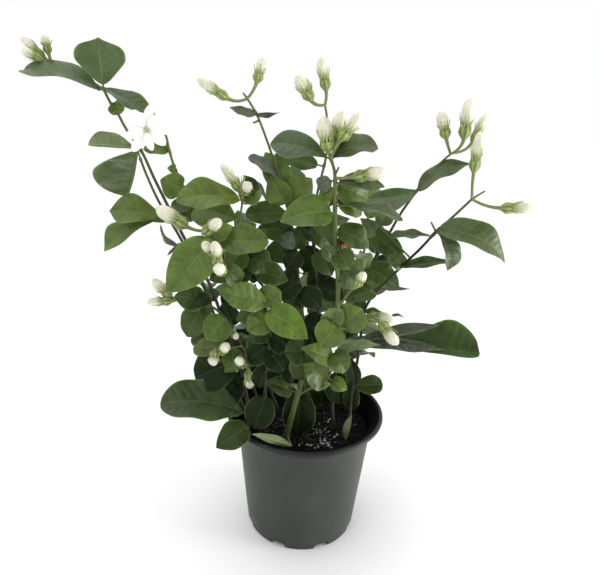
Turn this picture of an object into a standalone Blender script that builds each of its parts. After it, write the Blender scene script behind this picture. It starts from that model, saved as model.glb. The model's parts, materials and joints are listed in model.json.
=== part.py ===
"""Potted arabian jasmine: a nursery pot filled with soil, leafy canes that stand in holes
in the soil, one open flower and many white buds, each seated on its green calyx.

The canes, leaves and buds are placed by sight: a pixel of the photograph and a depth give a
place in space. Lengths are in millimetres until a mesh is made, which is in metres.
The origin is on the ground under the middle of the pot, with +Z up and the camera towards -Y.
"""

import bisect
import math
import random
from collections import namedtuple

import bmesh
import bpy
from mathutils import Matrix, Quaternion, Vector

MM = 0.001

# Pot and soil
POT_HEIGHT = 113
POT_FOOT_RADIUS = 50
POT_NECK_RADIUS = 60.5
POT_LIP_RADIUS = 70
POT_LIP_HEIGHT = 4
POT_WALL = 2
POT_FLOOR = 3
POT_SIDES = 32
DRAIN_COUNT = 8
DRAIN_WIDTH = 13
DRAIN_HEIGHT = 4.5
DRAIN_REACH = 9
SOIL_TOP = 97
SOIL_CLEARANCE = 0.35
SOIL_SIDES = 18
SOIL_RINGS = 3
SOIL_RELIEF = 1.2
STEM_HOLE_DEPTH = 26
STEM_HOLE_CLEARANCE = 0.35

# The photograph's camera: where it stands, how it is turned, and its frame in pixels
EYE = Vector((-9, -400, 351))
EYE_PITCH = math.radians(17.4)
EYE_ROLL = math.radians(2.4)
FOCAL_PX = 500
FRAME_CENTRE_PX = (300, 287.5)

# Canes and leaves
ROUTE_STEP = 30
ROOT_COVER = 1.5
BLADE_THICKNESS = 1.2
BLADE_FOLD = math.radians(13)
BLADE_WAVE = 0.10
PETIOLE_RADIUS = 0.75
SMALL_LEAF = 21
LONG_LEAF = 46
BLADE_STATIONS = ((0.25, 0.68), (0.15, 0.45, 0.78), (0.12, 0.34, 0.60, 0.84))
SHORT_STALK = 1.5
LONG_STALK = 5
FOOT_SHARPNESS = 0.68
TIP_SHARPNESS = 1.08
BLUNT_TIP = 0.5
SPRAY_DROOP = 20
SPRAY_SHAPE = 0.58

# Buds and flower
TOOTH_COUNT = 5
CALYX_RADIUS = 2.3
PEDICEL_RADIUS = 0.85
LONG_PEDICEL = 11
COROLLA_GAP = 0.35
TUBE_RADIUS = 1.25
BUD_SIDES = 6
PETAL_COUNT = 9

LEAF_FIELDS = "foot tip wide near turn arch belly sharp"
Blade = namedtuple("Blade", LEAF_FIELDS, defaults=((0, 0), 0, 4, 0.42, TIP_SHARPNESS))
Bud = namedtuple("Bud", "foot cup tip wide near", defaults=((0, 0),))
Cane = namedtuple("Cane", "base route thick twigs", defaults=((),))
Stub = namedtuple("Stub", "foot end near", defaults=((0, 0),))
Spray = namedtuple("Spray", "at aim long rise", defaults=(15,))


def sight(px, depth):
    """The place at this depth (Y, in mm) on the line of sight through a photo pixel."""
    x = (px[0] - FRAME_CENTRE_PX[0]) / FOCAL_PX
    y = (px[1] - FRAME_CENTRE_PX[1]) / FOCAL_PX
    across = x * math.cos(EYE_ROLL) + y * math.sin(EYE_ROLL)
    down = y * math.cos(EYE_ROLL) - x * math.sin(EYE_ROLL)
    ray = Vector(
        (
            across,
            math.cos(EYE_PITCH) - down * math.sin(EYE_PITCH),
            -math.sin(EYE_PITCH) - down * math.cos(EYE_PITCH),
        )
    )
    return EYE + ray * ((depth - EYE.y) / ray.y)


# Each cane: its foot in the soil (mm), its route up as (photo x, photo y, depth), its
# thickness at the soil and at the top, and its side twigs as more routes.
CANES = {
    "cane_left_tall": Cane(
        base=(-46, -13),
        route=[
            (248, 404, -13),
            (240, 365, -10),
            (230, 338, -8),
            (221, 314, -6),
            (209, 283, -5),
            (187, 243, -5),
            (170, 210, -6),
            (155, 180, -7),
            (143, 154, -8),
            (133, 139, -8),
            (125, 127, -8),
            (118, 114, -8),
            (110, 102, -8),
            (103, 88, -8),
        ],
        thick=(3.8, 1.9),
        twigs=[[(102, 89, -8), (85, 76, 0), (66, 67, 2), (51, 61, 2)]],
    ),
    "cane_left_leafy": Cane(
        base=(-49, -6),
        route=[
            (241, 402, -8),
            (232, 366, -3),
            (222, 336, 2),
            (213, 312, 6),
            (203, 285, 7),
            (184, 245, 6),
            (171, 222, 5),
            (158, 200, 4),
            (147, 176, 2),
            (140, 158, 0),
        ],
        thick=(3.8, 1.9),
    ),
    "cane_flower": Cane(
        base=(-26, 14),
        route=[
            (270, 388, 16),
            (259, 340, 16),
            (244, 300, 14),
            (226, 262, 10),
            (205, 222, 6),
            (191, 198, 4),
            (181, 182, 2),
            (174, 166, 0),
            (169, 149, -4),
            (166, 136, -8),
            (160, 130, -13),
            (152, 129, -19),
        ],
        thick=(3.6, 1.7),
    ),
    "cane_left_middle": Cane(
        base=(-12, 20),
        route=[
            (285, 375, 22),
            (281, 330, 20),
            (274, 300, 16),
            (258, 280, 10),
            (245, 256, 2),
            (239, 232, -6),
            (241, 212, -10),
            (243, 198, -13),
        ],
        thick=(3.6, 2),
    ),
    "cane_middle": Cane(
        base=(0, 6),
        route=[
            (303, 380, 8),
            (302, 340, 10),
            (300, 300, 14),
            (297, 265, 17),
            (295, 242, 19),
            (290, 220, 20),
            (286, 200, 20),
            (279, 177, 20),
            (271, 152, 20),
            (262, 127, 20),
            (256, 113, 20),
            (247, 98, 20),
        ],
        thick=(3.8, 1.7),
    ),
    "cane_middle_back": Cane(
        base=(14, 26),
        route=[
            (322, 370, 28),
            (320, 330, 28),
            (317, 290, 28),
            (314, 250, 28),
            (314, 215, 28),
            (318, 190, 28),
            (325, 162, 28),
            (328, 138, 28),
            (327, 118, 28),
            (325, 105, 28),
        ],
        thick=(3.6, 1.7),
    ),
    "cane_front": Cane(
        base=(-15, -30),
        route=[
            (291, 418, -33),
            (297, 397, -38),
            (303, 375, -44),
            (313, 352, -49),
            (326, 334, -53),
            (336, 314, -55),
            (338, 288, -54),
            (336, 250, -52),
            (335, 212, -50),
            (335, 176, -48),
            (331, 159, -47),
            (329, 153, -47),
        ],
        thick=(5.4, 1.6),
        twigs=[
            [(300, 394, -38), (309, 389, -44), (321, 384, -49), (331, 372, -53), (336, 357, -55)],
            [(341, 304, -55), (347, 295, -57), (352, 289, -59)],
        ],
    ),
    "cane_right_upper": Cane(
        base=(26, -10),
        route=[
            (332, 405, -8),
            (336, 370, -4),
            (344, 335, 0),
            (352, 310, 4),
            (360, 288, 6),
            (371, 266, 8),
            (384, 243, 10),
            (398, 218, 11),
            (408, 203, 12),
            (419, 188, 12),
            (433, 171, 12),
            (447, 157, 12),
            (453, 153, 12),
        ],
        thick=(3.8, 1.8),
    ),
    "cane_right_low": Cane(
        base=(38, -25),
        route=[
            (350, 413, -24),
            (353, 385, -22),
            (358, 357, -20),
            (361, 334, -18),
            (365, 309, -16),
            (377, 291, -14),
            (389, 279, -13),
            (402, 266, -12),
            (420, 249, -11),
            (436, 232, -10),
            (455, 215, -9),
            (472, 199, -8),
        ],
        thick=(3, 2),
    ),
    "shoot_left_front": Cane(
        base=(-34, -30),
        route=[
            (264, 410, -33),
            (267, 372, -39),
            (270, 340, -44),
            (268, 316, -47),
            (262, 301, -48),
            (250, 291, -48),
            (236, 282, -46),
            (225, 268, -44),
            (214, 246, -42),
            (203, 231, -40),
        ],
        thick=(3.4, 1.8),
    ),
    "shoot_left_low": Cane(
        base=(-37, 1),
        route=[
            (256, 395, -4),
            (249, 370, -14),
            (242, 348, -22),
            (232, 328, -26),
            (218, 311, -28),
            (204, 303, -29),
            (190, 300, -29),
            (179, 299, -29),
        ],
        thick=(3.2, 1.7),
        twigs=[
            [(241, 346, -23), (231, 348, -34), (222, 352, -40)],
        ],
    ),
    "cane_back_left": Cane(
        base=(-32, 34),
        route=[
            (266, 372, 40),
            (256, 335, 48),
            (246, 295, 55),
            (240, 258, 60),
            (236, 232, 62),
        ],
        thick=(4, 2),
    ),
    "cane_back_middle": Cane(
        base=(2, 44),
        route=[
            (303, 360, 52),
            (302, 320, 62),
            (304, 280, 70),
            (308, 240, 76),
            (310, 205, 80),
            (309, 180, 80),
        ],
        thick=(4, 2),
    ),
    "cane_back_right": Cane(
        base=(40, 24),
        route=[
            (345, 370, 34),
            (350, 335, 42),
            (357, 300, 50),
            (362, 265, 56),
            (366, 238, 60),
            (368, 215, 62),
        ],
        thick=(4, 2),
    ),
}

# Leaves read from the photograph. near is how far the foot and the tip stand towards the
# camera from the cane, turn is the roll of the blade about its own length, in degrees.
BLADES = {
    "cane_left_tall": [
        Blade((99, 88), (20, 71), 31, near=(1, 3), turn=74, arch=7),
        Blade((103, 84), (97, 38), 40, near=(0, -14), arch=3, belly=0.6),
        Blade((106, 91), (153, 113), 27, near=(2, 10), turn=-66, arch=0),
        Blade((113, 103), (121, 114), 13, near=(-3, -5)),
        Blade((138, 152), (112, 192), 31, near=(2, 14), turn=-24, arch=3, belly=0.6, sharp=0.8),
        Blade((243, 413), (160, 402), 40, near=(8, 26), turn=36, arch=9, belly=0.58, sharp=BLUNT_TIP),
        Blade((249, 427), (216, 448), 24, near=(36, 48), turn=14, arch=3),
        Blade((240, 364), (194, 370), 34, near=(2, 8), turn=12),
    ],
    "cane_left_leafy": [
        Blade((136, 150), (88, 142), 30, turn=60, arch=5, belly=0.6, sharp=BLUNT_TIP),
        Blade((166, 214), (112, 210), 30, near=(3, 8), turn=38, arch=6),
        Blade((167, 218), (104, 250), 24, near=(0, 12), turn=52, arch=7),
        Blade((183, 247), (161, 225), 17, near=(1, 6), turn=70, arch=-5),
        Blade((190, 252), (167, 256), 16, near=(0, 2), turn=64),
        Blade((239, 380), (219, 401), 27, near=(2, 5)),
        Blade((210, 304), (193, 333), 20, near=(-6, -12), turn=20),
        Blade((222, 338), (194, 344), 18, near=(-4, -6), turn=30),
    ],
    "cane_flower": [
        Blade((169, 151), (143, 149), 15, near=(-2, -4), turn=30),
        Blade((183, 187), (160, 180), 22, near=(2, 8), turn=-14),
        Blade((175, 169), (167, 168), 8, near=(0, 4)),
        Blade((194, 208), (237, 219), 31, near=(4, 14), turn=-16, arch=2),
        Blade((232, 274), (209, 280), 18, near=(4, 10), turn=20),
        Blade((236, 286), (226, 312), 20, near=(2, 10)),
        Blade((192, 206), (170, 208), 13, near=(-2, -4), turn=20),
    ],
    "cane_left_middle": [
        Blade((240, 200), (176, 204), 30, near=(3, 20), turn=46, arch=7),
        Blade((246, 207), (260, 190), 19, near=(-3, -8), turn=-20),
        Blade((248, 256), (270, 270), 24, near=(-4, -4), turn=-10),
        Blade((243, 250), (228, 268), 22, near=(-2, 2)),
        Blade((256, 270), (288, 281), 21, near=(3, 2), turn=-10),
        Blade((246, 262), (236, 284), 19, near=(-3, -6)),
    ],
    "cane_middle": [
        Blade((256, 115), (229, 107), 11, near=(1, 4), turn=24, arch=-1),
        Blade((258, 115), (279, 112), 13, near=(1, 4), turn=-72, arch=-1),
        Blade((278, 177), (249, 154), 20, near=(1, 6), turn=54, arch=2),
        Blade((285, 192), (265, 152), 24, near=(-4, -12), turn=10, arch=3),
        Blade((286, 204), (270, 176), 22, near=(1, 2), turn=-10),
        Blade((289, 206), (312, 178), 26, near=(-3, -8), turn=-16),
        Blade((268, 207), (246, 176), 15, near=(-3, 0), turn=74, arch=3),
        Blade((286, 213), (246, 214), 25, near=(4, 14), turn=30, arch=1),
        Blade((296, 244), (277, 240), 16, near=(1, 3), turn=20),
        Blade((298, 252), (286, 270), 19, near=(1, 6)),
        Blade((300, 282), (272, 300), 22, near=(2, 8), turn=16),
        Blade((300, 290), (322, 310), 22, near=(2, 8), turn=-16),
        Blade((300, 300), (283, 310), 20, near=(4, 7), turn=10),
    ],
    "cane_middle_back": [
        Blade((318, 165), (274, 154), 18, near=(1, 4), turn=30, arch=-1),
        Blade((315, 216), (334, 236), 22, near=(4, 10), turn=-20),
        Blade((314, 238), (296, 226), 18, near=(2, 8), turn=30),
        Blade((314, 246), (304, 272), 24, near=(-3, -4)),
        Blade((316, 252), (332, 276), 22, near=(2, 8), turn=-14),
        Blade((315, 226), (333, 250), 22, near=(-4, -8), turn=-14),
        Blade((315, 266), (324, 298), 24, near=(-5, -8)),
        Blade((317, 286), (344, 300), 24, near=(2, 8), turn=-20),
        Blade((319, 312), (309, 339), 22, near=(2, 4)),
        Blade((321, 370), (323, 404), 28, near=(6, 10)),
    ],
    "cane_front": [
        Blade((328, 158), (271, 141), 28, near=(-5, -10), turn=48, arch=5),
        Blade((333, 158), (376, 145), 27, near=(-2, -4), turn=-54, arch=6),
        Blade((338, 180), (381, 184), 16, near=(2, 0), turn=-62, arch=2),
        Blade((332, 181), (320, 191), 13, near=(-2, -8), turn=30),
        Blade((337, 186), (367, 199), 27, near=(-4, -16), turn=-16),
        Blade((332, 213), (280, 222), 27, near=(2, 12), turn=32, arch=5),
        Blade((338, 206), (403, 221), 25, near=(1, 14), turn=-72, arch=4),
        Blade((337, 201), (362, 212), 20, near=(-4, -16), turn=-24),
        Blade((338, 230), (368, 248), 25, near=(-2, -4), turn=-28, arch=5),
        Blade((339, 252), (350, 270), 18, near=(2, 8)),
        Blade((334, 258), (322, 245), 11, near=(-2, -2)),
        Blade((341, 327), (322, 315), 19, near=(3, 8), turn=150),
        Blade((336, 326), (320, 346), 25, near=(3, 10), turn=8),
        Blade((343, 327), (363, 309), 25, near=(-2, -8), turn=-12),
        Blade((332, 354), (346, 372), 19, near=(2, 8), turn=-8),
        Blade((334, 362), (301, 348), 17, near=(2, 10), turn=24),
        Blade((325, 380), (303, 364), 23, near=(1, 8), turn=4),
        Blade((333, 381), (347, 390), 12, near=(2, 8)),
        Blade((319, 387), (331, 384), 10, near=(3, 7), turn=-20),
        Blade((336, 350), (380, 345), 14, near=(-2, 2), turn=-50, arch=1),
        Blade((306, 350), (305, 381), 26, near=(2, 0)),
        Blade((293, 391), (265, 382), 17, near=(2, 8), turn=14),
        Blade((305, 396), (301, 449), 27, near=(-3, 9), turn=-4),
        Blade((291, 446), (252, 434), 8, near=(27, 40), turn=150, arch=1),
        Blade((304, 352), (284, 352), 24, near=(2, 6), turn=10),
        Blade((297, 378), (281, 365), 20, near=(-1, -4), turn=10),
        Blade((339, 268), (356, 285), 20, near=(-4, -8), turn=-10),
    ],
    "cane_right_upper": [
        Blade((421, 189), (469, 163), 27, near=(1, 5), turn=-52, arch=6),
        Blade((417, 191), (370, 195), 26, near=(-2, 2), turn=38, arch=-4),
        Blade((387, 238), (404, 258), 18, near=(2, 6), turn=-10, arch=4),
        Blade((383, 241), (360, 218), 15, near=(2, 6), turn=12),
        Blade((376, 258), (392, 272), 17, near=(-4, -8), turn=-14),
        Blade((367, 267), (402, 290), 24, near=(4, 9), turn=-24, arch=4, belly=0.36),
        Blade((366, 277), (346, 262), 22, near=(2, 4), turn=10),
        Blade((379, 252), (364, 239), 13, near=(-3, -6), turn=20),
        Blade((357, 296), (341, 284), 22, near=(2, 8), turn=10),
        Blade((350, 316), (366, 300), 20, near=(2, 6), turn=-10),
        Blade((336, 372), (340, 404), 25, near=(3, 6)),
    ],
    "cane_right_low": [
        Blade((438, 231), (505, 263), 30, near=(1, 8), turn=-36, arch=14, belly=0.54),
        Blade((438, 233), (452, 270), 20, near=(2, 8), turn=-44, arch=6),
        Blade((432, 235), (391, 237), 22, near=(0, 2), turn=70, arch=2),
        Blade((405, 266), (447, 261), 22, near=(1, 5), turn=-68, arch=1),
        Blade((375, 293), (345, 301), 20, near=(2, 6), turn=34),
        Blade((362, 344), (478, 350), 42, near=(2, 12), turn=-52, arch=9, belly=0.68, sharp=BLUNT_TIP),
        Blade((354, 387), (382, 383), 20, near=(1, 4), turn=-14, belly=0.6, sharp=BLUNT_TIP),
        Blade((353, 384), (352, 410), 15, near=(-3, -5), turn=10),
        Blade((351, 416), (346, 441), 9, near=(3, 6), turn=20),
        Blade((365, 312), (385, 315), 9, near=(-3, -8), turn=-40, arch=1),
    ],
    "shoot_left_front": [
        Blade((213, 240), (166, 293), 34, near=(3, 20), turn=4, arch=4),
        Blade((216, 241), (269, 243), 27, near=(-5, -2), turn=-26, arch=3),
        Blade((266, 304), (221, 292), 26, near=(3, 12), turn=18, arch=3),
        Blade((257, 293), (282, 305), 19, near=(-4, -7), turn=-16),
        Blade((268, 310), (308, 339), 24, near=(4, 16), turn=-8, arch=4),
        Blade((271, 319), (247, 331), 21, near=(2, 6), turn=16),
        Blade((269, 311), (236, 320), 19, near=(-4, -4), turn=16),
        Blade((270, 336), (247, 339), 15, near=(0, 2), turn=20),
        Blade((238, 285), (221, 264), 16, near=(3, 6), turn=20),
        Blade((268, 352), (284, 372), 20, near=(0, 6), turn=-10),
        Blade((266, 362), (252, 384), 18, near=(0, 4)),
        Blade((266, 396), (253, 429), 26, near=(4, 10)),
    ],
    "shoot_left_low": [
        Blade((226, 319), (206, 340), 24, near=(4, 12), turn=6, arch=3),
        Blade((222, 345), (194, 351), 16, near=(2, 6), turn=20),
        Blade((208, 328), (193, 346), 13, near=(-3, -5)),
        Blade((203, 306), (187, 337), 23, near=(0, 2), turn=10),
        Blade((204, 302), (179, 299), 20, near=(3, 8), turn=10),
        Blade((210, 296), (192, 307), 13, near=(7, 12), turn=10),
        Blade((234, 326), (222, 303), 18, near=(-4, -8)),
        Blade((246, 351), (259, 365), 18, near=(6, 12)),
        Blade((232, 350), (236, 372), 18, near=(6, 14), turn=10),
        Blade((244, 364), (224, 372), 12, near=(4, 8), turn=24),
        Blade((240, 341), (232, 353), 12, near=(-3, -6)),
    ],
}

# Leaves that the photograph hides, as pairs up a cane: how far up (0 to 1), which way they
# point (degrees from +X towards +Y), and their length.
SPRAYS = {
    "cane_left_leafy": [Spray(0.38, 120, 36), Spray(0.55, 100, 34)],
    "cane_flower": [Spray(0.45, 115, 36), Spray(0.60, 100, 34)],
    "cane_left_middle": [Spray(0.35, 115, 32), Spray(0.60, 60, 36), Spray(0.80, 90, 34)],
    "cane_middle_back": [
        Spray(0.30, 60, 34),
        Spray(0.45, 122, 32),
        Spray(0.62, 60, 36),
        Spray(0.72, 120, 34),
    ],
    "cane_right_upper": [
        Spray(0.36, 90, 40),
        Spray(0.48, 75, 40),
        Spray(0.60, 100, 36),
    ],
    "cane_back_left": [
        Spray(0.34, 98, 42),
        Spray(0.46, 145, 44),
        Spray(0.60, 75, 44),
        Spray(0.66, 168, 34),
        Spray(0.80, 140, 42),
        Spray(0.82, 40, 34),
        Spray(0.97, 95, 40, 40),
    ],
    "cane_back_middle": [
        Spray(0.30, 60, 44),
        Spray(0.34, 128, 42),
        Spray(0.44, 30, 40),
        Spray(0.46, 105, 48),
        Spray(0.60, 70, 46),
        Spray(0.62, 165, 34),
        Spray(0.76, 115, 46),
        Spray(0.78, 30, 38),
        Spray(0.90, 75, 40),
        Spray(0.98, 150, 36, 40),
    ],
    "cane_back_right": [
        Spray(0.32, 84, 42),
        Spray(0.34, 36, 40),
        Spray(0.46, 60, 46),
        Spray(0.60, 110, 42),
        Spray(0.62, 40, 42),
        Spray(0.78, 70, 42),
        Spray(0.97, 80, 38, 40),
    ],
}

# Buds: where the stalk leaves the cane, the calyx, and the bud's tip, in photo pixels, with
# the bud's width in mm and how far the calyx and the tip stand towards the camera.
BUDS = {
    "cane_left_tall": [
        Bud((52, 61), (43, 57), (21, 37), 6.5, near=(0, 2)),
        Bud((52, 62), (41, 60), (21, 49), 6.5, near=(5, 9)),
        Bud((51, 60), (48, 51), (44, 34), 6, near=(0, 2)),
    ],
    "cane_left_middle": [
        Bud((243, 199), (239, 190), (221, 164), 6.5, near=(3, 6)),
        Bud((244, 199), (244, 192), (249, 184), 7.5, near=(5, 19)),
    ],
    "cane_middle": [
        Bud((247, 99), (226, 98), (197, 79), 9, near=(0, 4)),
        Bud((248, 98), (257, 81), (263, 58), 8, near=(0, -3)),
    ],
    "cane_middle_back": [
        Bud((322, 104), (310, 99), (296, 75), 9, near=(5, 6)),
        Bud((323, 103), (314, 98), (307, 76), 7, near=(-6, -9)),
        Bud((325, 104), (326, 89), (321, 56), 8.5),
    ],
    "cane_front": [
        Bud((329, 156), (328, 150), (323, 116), 10, near=(2, 6)),
        Bud((331, 157), (337, 142), (342, 111), 9.5, near=(-2, -4)),
        Bud((332, 159), (341, 139), (361, 113), 8.5, near=(7, 11)),
        Bud((337, 178), (355, 177), (387, 171), 8.5, near=(5, 10)),
        Bud((352, 289), (358, 284), (367, 273), 7.5, near=(2, 8)),
    ],
    "cane_right_upper": [
        Bud((451, 155), (446, 137), (441, 111), 8.5, near=(0, 2)),
        Bud((453, 154), (464, 138), (470, 98), 9.5, near=(5, 6)),
        Bud((454, 153), (473, 141), (487, 114), 7, near=(-4, -6)),
    ],
    "cane_right_low": [
        Bud((472, 198), (474, 171), (480, 131), 8.5, near=(0, 2)),
        Bud((473, 199), (502, 208), (535, 208), 8.5, near=(2, 6)),
        Bud((362, 322), (368, 319), (394, 321), 8.5, near=(2, 6)),
        Bud((362, 326), (381, 323), (398, 345), 9, near=(22, 32)),
    ],
    "shoot_left_front": [
        Bud((203, 231), (186, 226), (154, 205), 10.5, near=(2, 4)),
        Bud((205, 233), (205, 232), (221, 220), 8, near=(8, 14)),
        Bud((224, 267), (214, 254), (203, 242), 6.5, near=(14, 21)),
        Bud((225, 268), (218, 264), (214, 241), 7.5, near=(19, 24)),
        Bud((227, 270), (222, 271), (217, 268), 8, near=(20, 34)),
    ],
    "shoot_left_low": [
        Bud((179, 299), (170, 296), (152, 279), 8, near=(0, 2)),
        Bud((180, 300), (170, 301), (147, 302), 7, near=(3, 6)),
        Bud((232, 329), (233, 332), (237, 339), 5, near=(6, 12)),
        Bud((223, 352), (221, 352), (228, 345), 7.5, near=(5, 15)),
        Bud((222, 353), (216, 353), (213, 364), 7.5, near=(6, 16)),
        Bud((247, 361), (244, 365), (237, 359), 7, near=(24, 36)),
        Bud((250, 374), (248, 372), (250, 389), 7.5, near=(11, 14)),
    ],
}

# Short bare pegs, where a leaf or a spent flower has fallen
STUBS = {
    "cane_middle": [Stub((247, 98), (243, 93)), Stub((258, 121), (253, 123))],
    "cane_front": [Stub((335, 175), (339, 167)), Stub((342, 331), (357, 332), near=(0, -8))],
    "cane_right_low": [Stub((472, 199), (485, 191)), Stub((435, 231), (431, 222))],
}

# Calyces that have dropped their flower
SPENT = {
    "cane_left_middle": [Bud((243, 198), (242, 187), (240, 170), 0, near=(1, 0))],
}

# The open flower: its throat and the way it faces, in the photograph
FLOWER_CANE = "cane_flower"
FLOWER_CUP = (150.5, 130)
FLOWER_FACE = (145.5, 129.5)
FLOWER_CUP_NEAR = 4
FLOWER_TUBE_LENGTH = 12
PETAL_LENGTH = 17
PETAL_WIDTH = 8.5
PETAL_SHARPNESS = 0.78
PETAL_RISE = math.radians(14)

LEAF_GREEN = (0.075, 0.145, 0.045, 1)
BUD_CREAM = (0.80, 0.80, 0.58, 1)
PETAL_WHITE = (0.90, 0.90, 0.88, 1)
POT_GREY = (0.070, 0.078, 0.068, 1)
SOIL_BROWN = (0.020, 0.015, 0.012, 1)


def smooth_route(points, step):
    """Points about one step apart on a smooth curve through the given points."""
    ends = [points[0] * 2 - points[1]] + points + [points[-1] * 2 - points[-2]]
    route = []
    for before, start, end, after in zip(ends, ends[1:], ends[2:], ends[3:]):
        count = max(1, round((end - start).length / step))
        for i in range(count):
            t = i / count
            route.append(
                start
                + (end - before) * (t / 2)
                + (before * 2 - start * 5 + end * 4 - after) * (t * t / 2)
                + (start * 3 - before - end * 3 + after) * (t * t * t / 2)
            )
    return route + [points[-1]]


def cane_routes(cane, step):
    """The cane's own curve from the bottom of its hole, and those of its twigs."""
    foot = Vector((*cane.base, SOIL_TOP))
    above = [sight((x, y), depth) for x, y, depth in cane.route]
    main = smooth_route([foot + Vector((0, 0, 6))] + above, step)
    main = [foot - Vector((0, 0, STEM_HOLE_DEPTH - 2)), foot] + main
    routes = [main]
    for twig in cane.twigs:
        points = [sight((x, y), depth) for x, y, depth in twig]
        routes.append(smooth_route([nearest_on(routes, points[0])] + points, step / 2))
    return routes


def nearest_on(routes, place):
    """The point of the routes that is nearest to a place."""
    best = None
    for route in routes:
        for start, end in zip(route, route[1:]):
            along = end - start
            t = min(1, max(0, (place - start).dot(along) / max(along.length_squared, 1e-9)))
            point = start + along * t
            gap = (place - point).length
            if best is None or gap < best[0]:
                best = (gap, point)
    return best[1]


def nearest_in_sight(routes, px):
    """The point of the routes, above the soil, that is nearest to a pixel's line of sight."""
    routes = [routes[0][2:], *routes[1:]]
    point = nearest_on(routes, sight(px, 0))
    for _ in range(4):
        point = nearest_on(routes, sight(px, point.y))
    return point


def run_past(route):
    """A route that runs on a little past its end, so that what grows there is sunk in it."""
    end = route[-1]
    return route[:-1] + [end + (end - route[-2]).normalized() * ROOT_COVER]


def point_at(route, share):
    """The point this share of the way along a route, and the route's direction there."""
    reach = [0]
    for start, end in zip(route, route[1:]):
        reach.append(reach[-1] + (end - start).length)
    target = share * reach[-1]
    i = min(bisect.bisect_left(reach, target, 1), len(route) - 1)
    start, end = route[i - 1], route[i]
    t = (target - reach[i - 1]) / max(reach[i] - reach[i - 1], 1e-9)
    return start.lerp(end, t), (end - start).normalized()


def loft(bm, rings, tip=None):
    """A closed skin over rings of points, flat at its ends or closed on a tip.

    Its quads are split alike on both faces of a thin blade, so that they never cross.
    """
    rows = [[bm.verts.new(point * MM) for point in ring] for ring in rings]
    count = len(rows[0])
    for low, high in zip(rows, rows[1:]):
        for i in range(count):
            j = (i + 1) % count
            if i % 2 == 0:
                bm.faces.new((low[i], low[j], high[j]))
                bm.faces.new((low[i], high[j], high[i]))
            else:
                bm.faces.new((low[i], low[j], high[i]))
                bm.faces.new((low[j], high[j], high[i]))
    bm.faces.new(rows[0][::-1])
    if tip is None:
        bm.faces.new(rows[-1])
        return
    end = bm.verts.new(tip * MM)
    for i in range(count):
        bm.faces.new((rows[-1][i], rows[-1][(i + 1) % count], end))


def mesh_object(name, bm):
    bmesh.ops.recalc_face_normals(bm, faces=bm.faces)
    if bm.calc_volume(signed=True) < 0:
        bmesh.ops.reverse_faces(bm, faces=bm.faces)
    mesh = bpy.data.meshes.new(name)
    bm.to_mesh(mesh)
    bm.free()
    obj = bpy.data.objects.new(name, mesh)
    bpy.context.collection.objects.link(obj)
    return obj


def ring(centre, along, radius, sides, start=None):
    """A round ring of points square to a direction, and its first direction, for the next."""
    along = along.normalized()
    if start is None:
        start = Vector((1, 0, 0)) if abs(along.x) < 0.8 else Vector((0, 1, 0))
    first = (start - along * start.dot(along)).normalized()
    second = along.cross(first)
    points = []
    for i in range(sides):
        angle = math.tau * i / sides
        points.append(centre + (first * math.cos(angle) + second * math.sin(angle)) * radius)
    return points, first


def tube(name, route, radius_start, radius_end, sides):
    """A closed tube that tapers along a route."""
    rings = []
    first = None
    for i, point in enumerate(route):
        along = route[min(i + 1, len(route) - 1)] - route[max(i - 1, 0)]
        share = i / (len(route) - 1)
        radius = radius_start + (radius_end - radius_start) * share
        points, first = ring(point, along, radius, sides, first)
        rings.append(points)
    bm = bmesh.new()
    loft(bm, rings)
    return mesh_object(name, bm)


def half_width(u, wide, belly, sharp):
    """Half a blade's width at u, from 0 at its foot to 1 at its tip, widest at its belly."""
    power = math.log(0.5) / math.log(belly)
    sharpness = FOOT_SHARPNESS + (sharp - FOOT_SHARPNESS) * u
    return wide / 2 * math.sin(math.pi * u**power) ** sharpness


def blade_frame(foot, tip, normal, arch):
    """A function that gives the midrib's point, its upward direction and its side at u."""
    axis = tip - foot
    side = axis.normalized().cross(normal).normalized()

    def at(u):
        point = foot + axis * u + normal * (4 * arch * u * (1 - u))
        along = axis + normal * (4 * arch * (1 - 2 * u))
        return point, side.cross(along).normalized(), side

    return at


def petiole_ring(place, side, up):
    across = side * PETIOLE_RADIUS
    over = up * PETIOLE_RADIUS
    return [place - across, place + over, place + across, place - over]


def leaf(name, root, foot, tip, normal, wide, arch, belly, sharp, seed):
    """One leaf: its petiole from the cane's middle, and a folded, waved blade."""
    at = blade_frame(foot, tip, normal, arch)
    reach = (tip - foot).length
    shares = BLADE_STATIONS[bisect.bisect((SMALL_LEAF, LONG_LEAF), reach)]
    stalk = foot - root
    _, up, side = at(0)
    lean = Quaternion()
    if stalk.length > SHORT_STALK:
        lean = side.cross(up).rotation_difference(-stalk)
    rings = [petiole_ring(root, lean @ side, lean @ up)]
    if stalk.length > LONG_STALK:
        half_lean = Quaternion().slerp(lean, 0.5)
        rings.append(petiole_ring(foot, half_lean @ side, half_lean @ up))
    for i, u in enumerate(shares):
        point, up, side = at(u)
        half = half_width(u, wide, belly, sharp)
        lift = half * math.sin(BLADE_FOLD)
        wave = half * BLADE_WAVE * (1 if (i + seed) % 2 else -1)
        reach = side * half * math.cos(BLADE_FOLD)
        core = up * (BLADE_THICKNESS / 2)
        rings.append(
            [
                point - reach + up * (lift + wave),
                point + core,
                point + reach + up * (lift - wave),
                point - core,
            ]
        )
    bm = bmesh.new()
    loft(bm, rings, tip=tip)
    return mesh_object(name, bm)


def blade_leaf(name, routes, blade, seed):
    """A leaf that lies where the photograph shows it."""
    root = nearest_in_sight(routes, blade.foot)
    foot = sight(blade.foot, root.y - blade.near[0])
    tip = sight(blade.tip, root.y - blade.near[1])
    axis = (tip - foot).normalized()
    view = EYE - (foot + tip) / 2
    facing = (view - axis * view.dot(axis)).normalized()
    normal = Matrix.Rotation(math.radians(blade.turn), 3, axis) @ facing
    shape = (blade.wide, blade.arch, blade.belly, blade.sharp)
    return leaf(name, root, foot, tip, normal, *shape, seed)


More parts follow.
